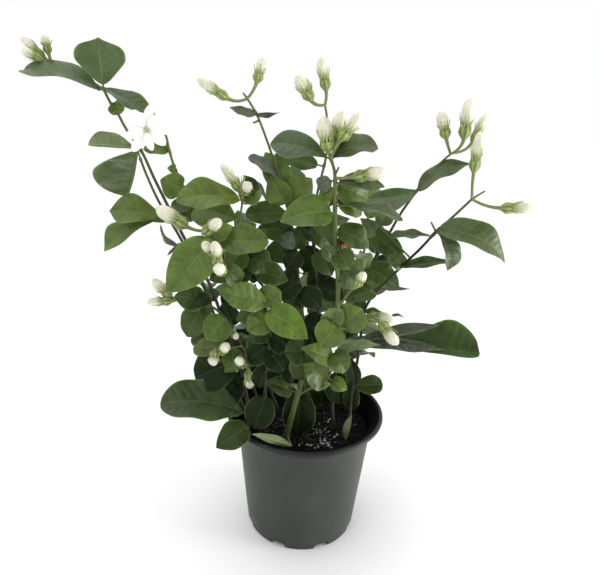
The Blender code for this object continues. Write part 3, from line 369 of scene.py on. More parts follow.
# Leaves read from the photograph: foot and tip in photo pixels, width in mm, and how far the
# foot and the tip stand towards the camera from the cane. After the look come the roll of the
# blade about its own length in degrees, its arch in mm, where it is widest, how sharp its tip is,
# how rippled it is and how much one half is wider.
BLADES = {
    "cane_left_tall": [
        Blade((99, 90), (23, 71), 35, (1, 3), "grey", 62, 6, 0.58, 0.45, lop=-0.2),
        Blade((103, 85), (98, 37), 36, (0, -10), "grey", 0, 1, 0.56, 1.25),
        Blade((105, 88), (155, 117), 25, (2, 10), "shaded", -60, 1, 0.48, 0.7, lop=0.15),
        Blade((113, 103), (121, 114), 13, (-3, -5)),
        Blade((139, 148), (127, 197), 31, (2, 10), "grey", -10, 3, 0.69, 0.6, lop=0.92),
        Blade((243, 413), (160, 404), 42, (8, 26), "grey", 34, 9, 0.58, BLUNT_TIP, 2.5),
        Blade((249, 427), (216, 448), 24, (36, 48), "shaded", 14, 3),
        Blade((241, 361), (195, 378), 39, (2, 4), "deep", 12, 3, 0.58, BLUNT_TIP),
    ],
    "cane_left_leafy": [
        Blade((136, 149), (88, 145), 13, (0, 2), "pale", 24, 2, 0.6, BLUNT_TIP, lop=0.7),
        Blade((169, 219), (109, 211), 30, (3, 8), "green", 30, 4, 0.68, 1.25, lop=0.05),
        Blade((167, 217), (104, 252), 22, (0, 12), "green", 42, 7, 0.7, 1.1, lop=0.3),
        Blade((184, 248), (160, 224), 12, (1, 6), "dusk", 66, -7, 0.5, 0.7),
        Blade((190, 252), (167, 256), 16, (0, 2), "shaded", 64),
        Blade((239, 380), (219, 401), 27, (2, 5), "deep"),
        Blade((210, 304), (193, 333), 20, (-6, -12), "shaded", 20),
        Blade((222, 338), (194, 344), 18, (-4, -6), "deep", 30),
    ],
    "cane_flower": [
        Blade((169, 151), (143, 149), 15, (-2, -4), "green", 30),
        Blade((183, 187), (160, 180), 22, (2, 8), "green", -14),
        Blade((175, 169), (167, 168), 8, (0, 4)),
        Blade((194, 208), (237, 219), 31, (4, 14), "green", -16, 2),
        Blade((232, 274), (209, 280), 18, (4, 10), "shaded", 20),
        Blade((236, 286), (226, 312), 20, (2, 10), "deep"),
        Blade((192, 206), (170, 208), 13, (-2, -4), "grey", 20),
    ],
    "cane_left_middle": [
        Blade((240, 200), (176, 201), 30, (3, 20), "green", 44, 5, 0.55, 0.6, 2.2),
        Blade((247, 204), (258, 184), 21, (-3, -8), "green", -20),
        Blade((248, 256), (270, 270), 24, (-4, -4), "shaded", -10),
        Blade((243, 250), (228, 268), 22, (-2, 2), "shaded"),
        Blade((256, 270), (288, 281), 21, (3, 2), "shaded", -10),
        Blade((246, 262), (236, 284), 19, (-3, -6), "deep"),
    ],
    "cane_middle": [
        Blade((256, 115), (229, 107), 10, (1, 4), "dusk", 40, -1),
        Blade((257, 114), (281, 112), 12, (1, 4), "deep", -60, -1, 0.24, 1.2, lop=0.6),
        Blade((278, 178), (248, 157), 16, (1, 6), "dusk", 54, 2, 0.6, BLUNT_TIP),
        Blade((285, 192), (265, 152), 24, (-4, -12), "green", 10, 3),
        Blade((286, 204), (270, 176), 22, (1, 2), "green", -10),
        Blade((289, 206), (312, 178), 26, (-3, -8), "green", -16),
        Blade((268, 207), (246, 176), 15, (-3, 0), "shaded", 74, 3),
        Blade((287, 213), (245, 215), 22, (4, 14), "shaded", 30, 1, 0.55, 0.6),
        Blade((296, 244), (277, 240), 16, (1, 3), "dusk", 20),
        Blade((298, 252), (286, 270), 19, (1, 6), "deep"),
        Blade((300, 282), (272, 300), 22, (2, 8), "deep", 16),
        Blade((300, 290), (322, 310), 22, (2, 8), "deep", -16),
        Blade((300, 300), (283, 310), 20, (4, 7), "shaded", 10),
    ],
    "cane_middle_back": [
        Blade((318, 165), (274, 154), 18, (1, 4), "shaded", 30, -1),
        Blade((315, 216), (334, 236), 22, (4, 10), "shaded", -20),
        Blade((314, 238), (296, 226), 18, (2, 8), "deep", 30),
        Blade((314, 246), (304, 272), 24, (-3, -4), "deep"),
        Blade((316, 252), (332, 276), 22, (2, 8), "shaded", -14),
        Blade((315, 226), (333, 250), 22, (-4, -8), "shaded", -14),
        Blade((315, 266), (324, 298), 24, (-5, -8), "deep"),
        Blade((317, 286), (344, 300), 24, (2, 8), "deep", -20),
        Blade((319, 312), (309, 339), 22, (2, 4), "deep"),
        Blade((321, 370), (323, 404), 28, (6, 10), "deep"),
    ],
    "cane_front": [
        Blade((328, 158), (270, 144), 27, (-5, -10), "grey", 46, 4, 0.64, 0.8),
        Blade((333, 158), (378, 147), 25, (-2, -4), "grey", -50, 5, 0.56, 0.62),
        Blade((338, 183), (385, 187), 18, (2, 0), "grey", -50, 2, 0.5, 0.8),
        Blade((332, 181), (320, 191), 13, (-2, -8), "dusk", 30),
        Blade((337, 186), (367, 199), 27, (-4, -16), "green", -16),
        Blade((332, 213), (280, 222), 27, (2, 12), "green", 32, 5),
        Blade((338, 206), (403, 221), 24, (1, 14), "grey", -70, 3, 0.62, 0.6),
        Blade((337, 201), (362, 212), 20, (-4, -16), "green", -24),
        Blade((337, 230), (369, 248), 20, (-2, -4), "shaded", -28, 4),
        Blade((339, 252), (350, 270), 18, (2, 8), "shaded"),
        Blade((334, 258), (322, 245), 11, (-2, -2), "grey"),
        Blade((341, 327), (322, 315), 19, (3, 8), "fresh", 150),
        Blade((337, 326), (320, 347), 24, (3, 10), "green", 8),
        Blade((343, 327), (363, 309), 25, (-2, -8), "green", -12),
        Blade((332, 354), (346, 372), 19, (2, 8), "green", -8),
        Blade((334, 362), (301, 348), 17, (2, 10), "green", 24),
        Blade((325, 380), (303, 364), 23, (1, 8), "green", 4),
        Blade((333, 381), (347, 390), 12, (2, 8), "fresh"),
        Blade((319, 387), (331, 384), 10, (3, 7), "pale", -20),
        Blade((336, 350), (380, 345), 14, (-2, 2), "pale", -50, 1),
        Blade((306, 350), (305, 381), 26, (2, 0), "shaded"),
        Blade((293, 391), (265, 382), 17, (2, 8), "shaded", 14),
        Blade((300, 390), (297, 437), 29, (-12, -15), "deep", -4),
        Blade((291, 446), (252, 434), 8, (27, 40), "pale", 150, 1),
        Blade((304, 352), (284, 352), 24, (2, 6), "shaded", 10),
        Blade((297, 378), (281, 365), 20, (-1, -4), "deep", 10),
        Blade((339, 268), (356, 285), 20, (-4, -8), "shaded", -10),
    ],
    "cane_right_upper": [
        Blade((418, 191), (472, 164), 24, (1, 5), "grey", -54, 6, 0.46, 0.9, lop=0.15),
        Blade((418, 190), (369, 199), 25, (-2, 2), "grey", 38, -3, 0.6, 0.6, lop=-0.35),
        Blade((367, 231), (404, 259), 20, (5, 8), "shaded", -14, 4),
        Blade((383, 241), (360, 218), 15, (2, 6), "grey", 12),
        Blade((376, 258), (390, 270), 15, (-4, -8), "shaded", -14),
        Blade((367, 267), (401, 291), 23, (4, 9), "shaded", -24, 4, 0.36, 1.2),
        Blade((366, 277), (346, 262), 22, (2, 4), "green", 10),
        Blade((379, 252), (364, 239), 13, (-3, -6), "shaded", 20),
        Blade((357, 296), (341, 284), 22, (2, 8), "shaded", 10),
        Blade((350, 316), (366, 300), 20, (2, 6), "shaded", -10),
        Blade((336, 372), (340, 404), 25, (3, 6), "deep"),
    ],
    "cane_right_low": [
        Blade((438, 230), (505, 264), 25, (1, 8), "grey", -34, 15, 0.4, 1.0, lop=-0.15),
        Blade((438, 233), (447, 271), 18, (2, 8), "grey", -44, 6, 0.6, 0.9, lop=-0.4),
        Blade((432, 236), (390, 238), 20, (0, 2), "shaded", 68, 1, 0.6, 0.6),
        Blade((402, 267), (451, 262), 16, (1, 5), "shaded", -57, 1, 0.36, 0.5),
        Blade((375, 293), (345, 301), 20, (2, 6), "shaded", 34),
        Blade((354, 343), (480, 354), 34, (2, 12), "shaded", -40, 1, 0.8, 0.38, 2, -0.55),
        Blade((353, 387), (383, 385), 17, (1, 4), "shaded", -14, 2, 0.62, 0.4),
        Blade((353, 384), (352, 410), 15, (-3, -5), "deep", 10),
        Blade((351, 416), (346, 441), 6.5, (3, 6), "pale", 20),
        Blade((365, 312), (385, 315), 9, (-3, -8), "shaded", -40, 1),
    ],
    "shoot_left_front": [
        Blade((213, 240), (167, 293), 32, (3, 20), "green", 4, 4, ripple=2.2),
        Blade((216, 241), (269, 243), 25, (-5, -2), "green", -26, 2, 0.52, 0.55, 1.8),
        Blade((266, 305), (221, 292), 22, (3, 12), "green", 18, 3, 0.5, 0.6, 3),
        Blade((257, 293), (282, 305), 19, (-4, -7), "green", -16),
        Blade((268, 310), (308, 339), 24, (4, 16), "fresh", -8, 4, ripple=1.8),
        Blade((271, 319), (247, 331), 21, (2, 6), "green", 16, ripple=3),
        Blade((269, 311), (236, 320), 19, (-4, -4), "shaded", 16),
        Blade((270, 336), (247, 339), 15, (0, 2), "shaded", 20),
        Blade((238, 285), (221, 264), 16, (3, 6), "shaded", 20),
        Blade((268, 352), (284, 372), 20, (0, 6), "deep", -10),
        Blade((268, 364), (258, 388), 18, (-8, -10), "deep"),
        Blade((266, 396), (253, 429), 26, (4, 10), "deep"),
    ],
    "shoot_left_low": [
        Blade((226, 319), (206, 340), 24, (4, 12), "green", 6, 3, ripple=2),
        Blade((223, 345), (193, 351), 16, (-2, -6), "green", 16, 2, 0.5, 0.6),
        Blade((208, 328), (193, 346), 13, (-3, -5), "shaded"),
        Blade((203, 306), (187, 337), 23, (0, 2), "shaded", 10),
        Blade((204, 302), (174, 296), 21, (3, 8), "shaded", 10),
        Blade((210, 296), (192, 307), 13, (7, 12), "deep", 10),
        Blade((234, 326), (222, 303), 18, (-4, -8), "deep"),
        Blade((246, 351), (259, 365), 18, (6, 12)),
        Blade((232, 350), (236, 372), 18, (6, 14), "green", 10),
        Blade((244, 364), (224, 372), 12, (4, 8), "green", 24),
        Blade((240, 341), (232, 353), 12, (-3, -6), "shaded"),
    ],
}

# Leaves that the photograph hides: how far up the cane (0 to 1), which way they point (degrees
# from +X towards +Y), their length, and their rise in degrees.
SPRAYS = {
    "cane_left_leafy": [Spray(0.38, 120, 36), Spray(0.55, 100, 34)],
    "cane_flower": [Spray(0.45, 115, 36), Spray(0.6, 100, 34)],
    "cane_left_middle": [Spray(0.35, 115, 32), Spray(0.6, 60, 36), Spray(0.8, 90, 34)],
    "cane_middle_back": [
        Spray(0.3, 60, 34), Spray(0.45, 122, 32), Spray(0.62, 60, 36), Spray(0.72, 120, 34),
    ],
    "cane_right_upper": [Spray(0.36, 90, 40), Spray(0.48, 75, 40), Spray(0.6, 100, 36)],
    "cane_back_left": [
        Spray(0.34, 98, 42), Spray(0.46, 145, 44), Spray(0.6, 75, 44), Spray(0.66, 168, 34),
        Spray(0.8, 140, 42), Spray(0.82, 40, 34), Spray(0.97, 95, 40, 40),
    ],
    "cane_back_middle": [
        Spray(0.3, 60, 44), Spray(0.34, 128, 42), Spray(0.44, 30, 40), Spray(0.46, 105, 48),
        Spray(0.6, 70, 46), Spray(0.62, 165, 34), Spray(0.76, 115, 46), Spray(0.78, 30, 38),
        Spray(0.9, 75, 40), Spray(0.98, 150, 36, 40),
    ],
    "cane_back_right": [
        Spray(0.32, 84, 42), Spray(0.34, 36, 40), Spray(0.46, 60, 46), Spray(0.6, 110, 42),
        Spray(0.62, 40, 42), Spray(0.78, 70, 42), Spray(0.97, 80, 38, 40),
    ],
}

# Buds: where the stalk leaves the cane, the calyx, and the bud's tip, in photo pixels, with
# the bud's width in mm and how far the calyx and the tip stand towards the camera.
BUDS = {
    "cane_left_tall": [
        Bud((52, 61), (43, 57), (21, 37), 6.5, (0, 2)),
        Bud((52, 62), (41, 60), (21, 49), 6.5, (5, 9)),
        Bud((51, 60), (48, 51), (44, 34), 6, (0, 2)),
    ],
    "cane_left_middle": [
        Bud((243, 199), (239, 190), (221, 164), 6.5, (3, 6)),
        Bud((244, 199), (244, 192), (249, 184), 7.5, (5, 19)),
    ],
    "cane_middle": [
        Bud((247, 99), (227, 98), (197, 79), 7.5, (0, 4)),
        Bud((248, 98), (257, 81), (263, 58), 8, (0, -3)),
    ],
    "cane_middle_back": [
        Bud((322, 104), (310, 99), (296, 75), 9, (5, 6)),
        Bud((323, 103), (311, 99), (304, 77), 7, (-6, -9)),
        Bud((325, 104), (326, 89), (321, 56), 8.5),
    ],
    "cane_front": [
        Bud((329, 156), (328, 150), (323, 116), 10, (2, 6)),
        Bud((331, 157), (337, 142), (342, 111), 9.5, (-2, -4)),
        Bud((332, 159), (341, 139), (361, 113), 8.5, (7, 11)),
        Bud((337, 178), (355, 177), (387, 171), 8.5, (5, 10)),
        Bud((352, 289), (357, 285), (365, 272), 6.5, (2, 3)),
    ],
    "cane_right_upper": [
        Bud((451, 155), (446, 137), (441, 111), 8.5, (0, 2)),
        Bud((453, 154), (464, 138), (470, 98), 9.5, (5, 6)),
        Bud((454, 153), (473, 141), (487, 114), 7, (-4, -6)),
    ],
    "cane_right_low": [
        Bud((472, 198), (474, 171), (480, 131), 8.5, (0, 2)),
        Bud((473, 199), (502, 208), (535, 208), 8.5, (2, 6)),
        Bud((362, 320), (368, 317), (394, 319), 9.5, (2, 6)),
        Bud((362, 326), (381, 323), (398, 345), 9, (22, 32)),
    ],
    "shoot_left_front": [
        Bud((203, 231), (186, 226), (156, 207), 10.2, (2, 4)),
        Bud((205, 233), (205, 232), (221, 220), 8, (8, 14)),
        Bud((224, 267), (214, 254), (203, 242), 6.5, (14, 21)),
        Bud((225, 268), (218, 264), (214, 241), 7.5, (19, 24)),
        Bud((227, 270), (222, 271), (217, 268), 8, (20, 34)),
    ],
    "shoot_left_low": [
        Bud((179, 299), (170, 296), (152, 279), 8, (0, 2)),
        Bud((180, 300), (170, 301), (147, 302), 7, (3, 6)),
        Bud((232, 329), (233, 332), (237, 339), 5, (6, 12)),
        Bud((223, 352), (221, 352), (228, 345), 7.5, (5, 15)),
        Bud((222, 353), (215, 352), (213, 366), 7.5, (6, 12)),
        Bud((247, 361), (244, 365), (237, 359), 7, (24, 36)),
        Bud((250, 374), (248, 372), (250, 389), 7.5, (11, 14)),
    ],
}

# Short bare pegs, where a leaf or a spent flower has fallen
PEGS = {
    "cane_middle": [Peg((247, 98), (243, 93)), Peg((258, 121), (253, 123))],
    "cane_front": [Peg((335, 175), (339, 167)), Peg((342, 331), (357, 332), -8)],
    "cane_right_low": [Peg((472, 199), (485, 191)), Peg((435, 231), (431, 222))],
}

# Calyces that have dropped their flower
SPENT = {
    "cane_left_middle": [Bud((243, 198), (242, 187), (240, 170), 5, (1, 0))],
}

# Small leaves that close the gaps between the others, read in the same way
LEAFLETS = {
    "cane_back_left": [
        Blade((262, 355), (234, 330), 30, (2, 4), "deep", 12),
        Blade((256, 336), (284, 318), 28, (2, 4), "deep", -12),
        Blade((265, 368), (292, 346), 30, (2, 4), "deep", -14),
        Blade((264, 362), (238, 376), 26, (2, 4), "deep", 12),
    ],
    "cane_back_middle": [
        Blade((303, 352), (330, 334), 28, (2, 4), "deep", -12),
        Blade((303, 356), (278, 372), 26, (2, 4), "deep", 12),
        Blade((302, 330), (276, 312), 28, (2, 4), "deep", 12),
    ],
    "cane_left_leafy": [Blade((171, 219), (133, 219), 13, (1, 5), "grey", 30)],
    "cane_left_tall": [
        Blade((233, 344), (249, 336), 17, (-2, -4), "shaded", 8),
        Blade((243, 371), (237, 386), 12, (-2, -4), "deep", 10),
        Blade((232, 347), (219, 341), 13, (-2, -4), "shaded", 12),
        Blade((214, 301), (207, 287), 12, (-2, -3), "shaded", 16),
    ],
    "cane_flower": [
        Blade((197, 215), (178, 212), 18, (-2, -3), "grey", 14),
        Blade((246, 305), (256, 284), 16, (-3, -6), "deep", -12),
    ],
    "cane_left_middle": [
        Blade((282, 346), (293, 339), 13, (-2, -3), "deep", -12),
        Blade((257, 281), (249, 272), 12, (-2, -3), "deep", 12),
        Blade((257, 198), (243, 175), 10, (-3, -6), "deep", 30),
        Blade((247, 255), (262, 246), 15, (-3, -6), "deep", -12),
    ],
    "cane_middle": [
        Blade((289, 233), (257, 229), 22, (-2, -5), "shaded", 20),
        Blade((297, 250), (263, 254), 22, (-2, -5), "shaded", 10),
        Blade((295, 240), (270, 229), 19, (-3, -8), "shaded", 16),
        Blade((297, 249), (303, 224), 17, (-3, -5), "shaded", -12),
        Blade((299, 277), (284, 271), 14, (-2, -4), "deep", 12),
        Blade((302, 350), (312, 336), 14, (-3, -5), "deep", -14),
    ],
    "cane_middle_back": [Blade((320, 347), (308, 340), 13, (-2, -3), "deep", 12)],
    "cane_front": [
        Blade((345, 250), (344, 241), 5, look="dry"),
        Blade((297, 390), (288, 385), 5, (1, 3), "pale", 30),
        Blade((318, 384), (326, 380), 5, (1, 3), "pale", -30),
        Blade((334, 204), (320, 190), 15, (-3, -5), "green", 14),
        Blade((337, 239), (352, 248), 16, (-3, -5), "shaded", -14),
    ],
    "cane_right_upper": [
        Blade((368, 270), (360, 283), 13, (-2, -3), "green", -14),
        Blade((345, 332), (357, 338), 14, (-2, -4), "deep", -14),
    ],
    "cane_right_low": [
        Blade((348, 339), (444, 350), 17, (3, 11), "dusk", -44, 1, 0.45, 0.9, 3, 0.2),
        Blade((358, 340), (440, 325), 13, (4, 9), "dusk", -44, 1, 0.5, 0.9, 3),
        Blade((388, 319), (405, 319), 4, (2, 4), "dusk", -50),
        Blade((384, 289), (412, 289), 5, (3, 8), "dusk", -40, 0, 0.3, 1.2),
        Blade((378, 224), (391, 206), 15, (-3, -5), "grey", 14),
        Blade((403, 267), (389, 255), 14, (-2, -3), "grey", 14),
        Blade((354, 385), (350, 357), 14, (-2, -5), "deep", 8),
    ],
    "shoot_left_front": [
        Blade((269, 346), (248, 362), 20, (-2, -4), "deep", 10),
        Blade((270, 334), (291, 350), 22, (-2, -4), "deep", -10),
        Blade((267, 368), (290, 381), 22, (-4, -6), "deep", -10),
        Blade((210, 239), (233, 226), 16, (-3, -5), "green", -16),
        Blade((270, 348), (281, 342), 13, (-2, -4), "deep", -12),
    ],
}


def srgb(red, green, blue):
    """A linear colour from the 0 to 255 values that a screen shows."""
    linear = []
    for value in (red, green, blue):
        share = value / 255
        linear.append(share / 12.92 if share <= 0.04045 else ((share + 0.055) / 1.055) ** 2.4)
    return (*linear, 1)


BARK_PORE = srgb(168, 160, 132)
CALYX_RIB = srgb(188, 200, 130)
TOOTH_TINT = (0.56, 0.62, 0.28, 1)
BUD_WHITE = srgb(246, 246, 236)
BUD_BLUSH = srgb(226, 216, 196)


def a_colour(name, description, default):
    return FloatVectorProperty(
        name=name,
        description=description,
        subtype="COLOR",
        size=4,
        min=0,
        max=1,
        default=default,
    )


def a_length(name, description, metres):
    return FloatProperty(name=name, description=description, default=metres, unit="LENGTH")


def an_angle(name, description, degrees):
    turn = math.radians(degrees)
    return FloatProperty(name=name, description=description, default=turn, subtype="ANGLE")


def a_share(name, description, default):
    return FloatProperty(name=name, description=description, default=default, subtype="FACTOR")


def a_power(name, description, default):
    return FloatProperty(name=name, description=description, default=default)


def a_count(name, description, default):
    return IntProperty(name=name, description=description, default=default)


# Settings


class LeafSettings(bpy.types.PropertyGroup):
    green: a_colour("Green", "Grown leaves in full light", srgb(84, 103, 40))
    fresh: a_colour("Fresh", "Young leaves", srgb(88, 112, 28))
    # Painted sheen: a greyer green that stands in for the sheen that light gives the upper, outer
    # leaves.
    grey: a_colour("Grey", "Grown leaves with a dull bloom", srgb(73, 88, 50))
    shaded: a_colour("Shaded", "Leaves inside the plant", srgb(58, 76, 30))
    # Painted shade: the darkest green, for leaves far inside the plant and near the soil, where shade
    # falls.
    deep: a_colour("Deep", "Old leaves near the soil", srgb(36, 49, 24))
    dusk: a_colour("Dusk", "Small leaves that curl and show a grey back", srgb(82, 90, 74))
    pale: a_colour("Pale", "Dry or turned leaves", srgb(126, 136, 92))
    dry: a_colour("Dry", "Reddish dry scales", srgb(150, 88, 60))
    back: a_colour("Underside", "Paler underside of a leaf", srgb(92, 106, 66))
    thickness: a_length("Blade thickness", "Thickness of a blade beside its midrib", 0.0005)
    fold: an_angle("Fold", "How far each half of a blade is lifted from flat", 13)
    wave: a_share("Edge wave", "Height of the edge's waves, as a share of half the blade", 0.11)
    quilting: a_length("Quilting", "Height of the swell between two side veins", 0.0004)
    vein_spacing: a_length("Vein spacing", "Distance between side veins", 0.0062)


class StemSettings(bpy.types.PropertyGroup):
    wood: a_colour("Wood", "Old bark of the canes", srgb(39, 39, 31))
    young: a_colour("Young bark", "Green bark of young canes and twigs", srgb(88, 98, 52))
    stalk: a_colour("Leaf stalk", "Stalks of the leaves", srgb(84, 98, 46))


class BloomSettings(bpy.types.PropertyGroup):
    calyx: a_colour("Calyx", "Calyx and its narrow teeth", srgb(112, 128, 60))
    cream: a_colour("Cream", "Head of a closed bud", srgb(210, 209, 183))
    tube: a_colour("Tube", "Lower part of a closed bud", srgb(142, 156, 88))
    petal: a_colour("Petal", "Petals of the open flower", srgb(250, 250, 248))
    throat: a_colour("Throat", "Middle of the open flower", srgb(212, 214, 190))
    petal_length: a_length("Petal length", "Length of an outer petal", 0.017)
    petal_width: a_length("Petal width", "Width of a petal", 0.0069)
    petal_rise: an_angle("Petal rise", "How far the outer petals rise from flat", 8)
    tube_length: a_length("Flower tube", "Length of the open flower's tube", 0.012)


class PotSettings(bpy.types.PropertyGroup):
    plastic: a_colour("Plastic", "Moulded plastic of the pot", srgb(46, 51, 45))
    # Painted shade: the pot is one plastic, and this colour darkens it at the lip.
    lip: a_colour("Lip", "Plastic at the pot's lip", srgb(14, 14, 18))
    # Painted shade: the same plastic made nearly black on the inside of the wall.
    inside: a_colour("Inside", "Wet plastic inside the pot", srgb(5, 5, 6))
    dust: a_colour("Dust", "Dry soil dust on the pot", srgb(84, 86, 79))
    sides: a_count("Sides", "Sides of the turned pot", 112)


class SoilSettings(bpy.types.PropertyGroup):
    peat: a_colour("Peat", "Damp potting soil", srgb(6, 5, 7))
    bark: a_colour("Bark", "Crumbs of bark and fibre", srgb(17, 14, 13))
    perlite: a_colour("Perlite", "White grains in the soil", srgb(176, 174, 170))
    crumbs: a_count("Crumbs", "Crumbs that lie on the soil", 520)
    grains: a_count("Grains", "White grains in the soil", 150)


class StageSettings(bpy.types.PropertyGroup):
    floor: a_colour("Floor", "Pale floor", (0.97, 0.97, 0.97, 1))
    sky: a_power("Sky", "Strength of the even light", 1.0)
    room: a_share("Room", "Brightness of the photographer's room, as a share of the sky", 0.25)
    key: a_power("Key light", "Power of the front light", 5.0)
    sun: a_power("Sun", "Strength of the wide sun overhead", 0.9)
    side: a_power("Side light", "Power of the light at the right", 9.0)


# Materials


def put(socket, value):
    """Joins a socket to a node's output, or sets its value."""
    if isinstance(value, Value):
        socket.id_data.links.new(value.socket, socket)
    else:
        socket.default_value = value


def add_node(tree, kind, inputs, output=0, **options):
    """One output of a new node that has its options set and its inputs joined or set."""
    made = tree.nodes.new("ShaderNode" + kind)
    for option, value in options.items():
        setattr(made, option, value)
    for name, value in inputs.items():
        put(made.inputs[name], value)
    return Value(made.outputs[output])


class Value:
    """A node's output. Its sums and products are the outputs of new nodes."""

    def __init__(self, socket):
        self.socket = socket

    def maths(self, operation, other=0.0):
        return add_node(self.socket.id_data, "Math", {0: self, 1: other}, operation=operation)

    def __add__(self, other):
        return self.maths("ADD", other)

    def __sub__(self, other):
        return self.maths("SUBTRACT", other)

    def __mul__(self, other):
        return self.maths("MULTIPLY", other)

    def ramp(self, start, end, low=0.0, high=1.0):
        """A smooth change from low to high as this value goes from start to end."""
        inputs = {"Value": self, "From Min": start, "From Max": end, "To Min": low, "To Max": high}
        smooth = {"interpolation_type": "SMOOTHSTEP"}
        return add_node(self.socket.id_data, "MapRange", inputs, **smooth)

    def swing(self, low, high):
        """The middle range of a noise, made to go from low to high."""
        return self.ramp(0.3, 0.7, low, high)


class Shading:
    """The nodes of a new material or world."""

    def __init__(self, owner):
        owner.use_nodes = True
        self.owner = owner

    def node(self, kind, inputs, output=0, **options):
        return add_node(self.owner.node_tree, kind, inputs, output, **options)

    @cached_property
    def place(self):
        return self.node("TexCoord", {}, "Object")

    @cached_property
    def uv(self):
        """Two values: round or across a surface, and along it."""
        return self.split(self.node("TexCoord", {}, "UV"))[:2]

    @cached_property
    def tint(self):
        return self.node("Attribute", {}, "Color", attribute_name="tint")

    def split(self, vector):
        """The three parts of a vector."""
        parts = self.node("SeparateXYZ", {"Vector": vector})
        return [Value(part) for part in parts.socket.node.outputs]

    def speckle(self, scale, detail=3.0, roughness=0.55, place=None):
        inputs = {"Scale": scale, "Detail": detail, "Roughness": roughness}
        inputs["Vector"] = place or self.place
        return self.node("TexNoise", inputs, "Fac")

    def mix(self, share, first, second, blend="MIX"):
        """A share of the second colour over the first."""
        inputs = {0: share, 6: first, 7: second}
        return self.node("Mix", inputs, 2, data_type="RGBA", blend_type=blend)

    def shade(self, colour, light):
        """A colour made darker by a light below 1, or lighter by one above it."""
        grey = self.node("CombineColor", {0: light, 1: light, 2: light})
        return self.mix(1.0, colour, grey, "MULTIPLY")

    def dress(self, colour, rough, relief=None, specular=0.5, soft=None):
        """Sets the surface and gives the material.

        relief is a height with its strength and distance, and soft is the weight, radius and
        scale of the light that passes under the surface.
        """
        values = {"Base Color": colour, "Roughness": rough, "Specular IOR Level": specular}
        if relief:
            bump = dict(zip(("Height", "Strength", "Distance"), relief))
            values["Normal"] = self.node("Bump", bump)
        if soft:
            parts = ("Subsurface Weight", "Subsurface Radius", "Subsurface Scale")
            values.update(zip(parts, soft))
        shader = self.owner.node_tree.nodes["Principled BSDF"]
        for name, value in values.items():
            put(shader.inputs[name], value)
        return self.owner


def new_skin(name):
    return Shading(bpy.data.materials.new(name))


def leaf_material(settings):
    """Glossy leaf skin with pale veins in grooves, a duller, paler underside, and painted shade towards
    the soil.
    """
    skin = new_skin("leaf skin")
    across, _ = skin.uv
    _, _, height = skin.split(skin.place)
    row, reach, span = skin.split(skin.node("Attribute", {}, "Vector", attribute_name="vein"))
    mottle = skin.speckle(95, 4)
    grain = skin.speckle(900, 2)
    cells = {"Vector": skin.place, "Scale": 620.0}
    net = skin.node("TexVoronoi", cells, "Distance", feature="DISTANCE_TO_EDGE").ramp(0.0, 0.12)

    side_vein = row.maths("PINGPONG", 0.5).ramp(0.10, 0.015)
    side_vein *= span.ramp(1, 0.6) * reach.ramp(0.3, 1.0)
    side_vein *= mottle.ramp(0.25, 0.65, 0.25, 1.0)
    midrib = reach.ramp(0.75, 0.25)
    vein = midrib.maths("MAXIMUM", side_vein * 0.55)

    # Painted shade: the leaves grow darker towards the soil, below about 0.26 m, on top of the random
    # mottle.
    light = mottle.swing(0.80, 1.18) * height.ramp(0.14, 0.26, 0.68, 1.0)
    colour = skin.shade(skin.tint, light)
    colour = skin.shade(colour, grain.swing(0.92, 1.07))
    colour = skin.mix(span.ramp(0.90, 1.0, 0.0, 0.25), colour, settings.pale)
    colour = skin.shade(colour, vein * 0.45 + 1.0)
    top = skin.mix(midrib * 0.09, colour, settings.pale)
    back = skin.mix(0.62, colour, settings.back)
    back = skin.mix(vein * 0.35, back, settings.pale)
    under = across.maths("GREATER_THAN", 0.5)

    rough = mottle.ramp(0.35, 0.65, 0.27, 0.46) + under * 0.25
    green = skin.node("SeparateColor", {"Color": skin.tint}, "Green")
    specular = green.ramp(0.02, 0.12, 0.08, 0.30)
    relief = (net * 0.25 - vein + grain * 0.25, 0.55, 0.0003)
    soft = (0.12, (0.35, 1.0, 0.12), 0.0012)
    return skin.dress(skin.mix(under, top, back), rough, relief, specular, soft)


def stem_material():
    """Bark with long streaks and small pale pores."""
    skin = new_skin("jasmine bark")
    around, along = skin.uv
    lengthwise = skin.node("CombineXYZ", {"X": around * 9.0, "Y": along * 14.0})
    streak = skin.speckle(1.0, 4, place=lengthwise)
    spot = skin.speckle(620, 2)
    bark = skin.shade(skin.tint, streak.swing(0.72, 1.25))
    bark = skin.mix(spot.ramp(0.66, 0.74) * 0.30, bark, BARK_PORE)
    relief = (streak + spot * 0.5, 0.5, 0.0003)
    return skin.dress(bark, streak.swing(0.48, 0.66), relief, 0.3)


def calyx_material():
    """Smooth green skin with fine ribs."""
    skin = new_skin("calyx skin")
    around, _ = skin.uv
    rib = (around * CALYX_RIBS).maths("PINGPONG", 0.5).ramp(0, 0.5).ramp(0.55, 0.95)
    mottle = skin.speckle(380)
    colour = skin.shade(skin.tint, mottle.swing(0.84, 1.14))
    colour = skin.mix(rib * 0.42, colour, CALYX_RIB)
    return skin.dress(colour, mottle.swing(0.42, 0.56), (rib + mottle, 0.3, 0.0002))


def bud_material(settings):
    """Waxy furled petals: green-tinged below, cream above, with painted shade along the fold lines."""
    skin = new_skin("bud wax")
    around, along = skin.uv
    mottle = skin.speckle(260)
    fold = (around * FOLD_COUNT).maths("FRACT")
    # Painted shade in the folds: the fold lines are tinted towards the tube's darker green.
    crease = fold.ramp(0.80, 1.0) * along.ramp(0.3, 0.6)
    height = along + (mottle - 0.5) * 0.22
    wax = skin.mix(height.ramp(0.30, 0.56), settings.tube, skin.tint)
    wax = skin.mix(crease * 0.20, wax, settings.tube)
    pale = mottle.ramp(0.35, 0.7, 0.0, 0.5) * along.ramp(0.5, 0.8)
    wax = skin.mix(pale, wax, BUD_WHITE)
    relief = (skin.speckle(700, 2) - crease, 0.35, 0.0002)
    soft = (0.25, (1.0, 0.9, 0.6), 0.0015)
    return skin.dress(wax, mottle.swing(0.40, 0.54), relief, soft=soft)


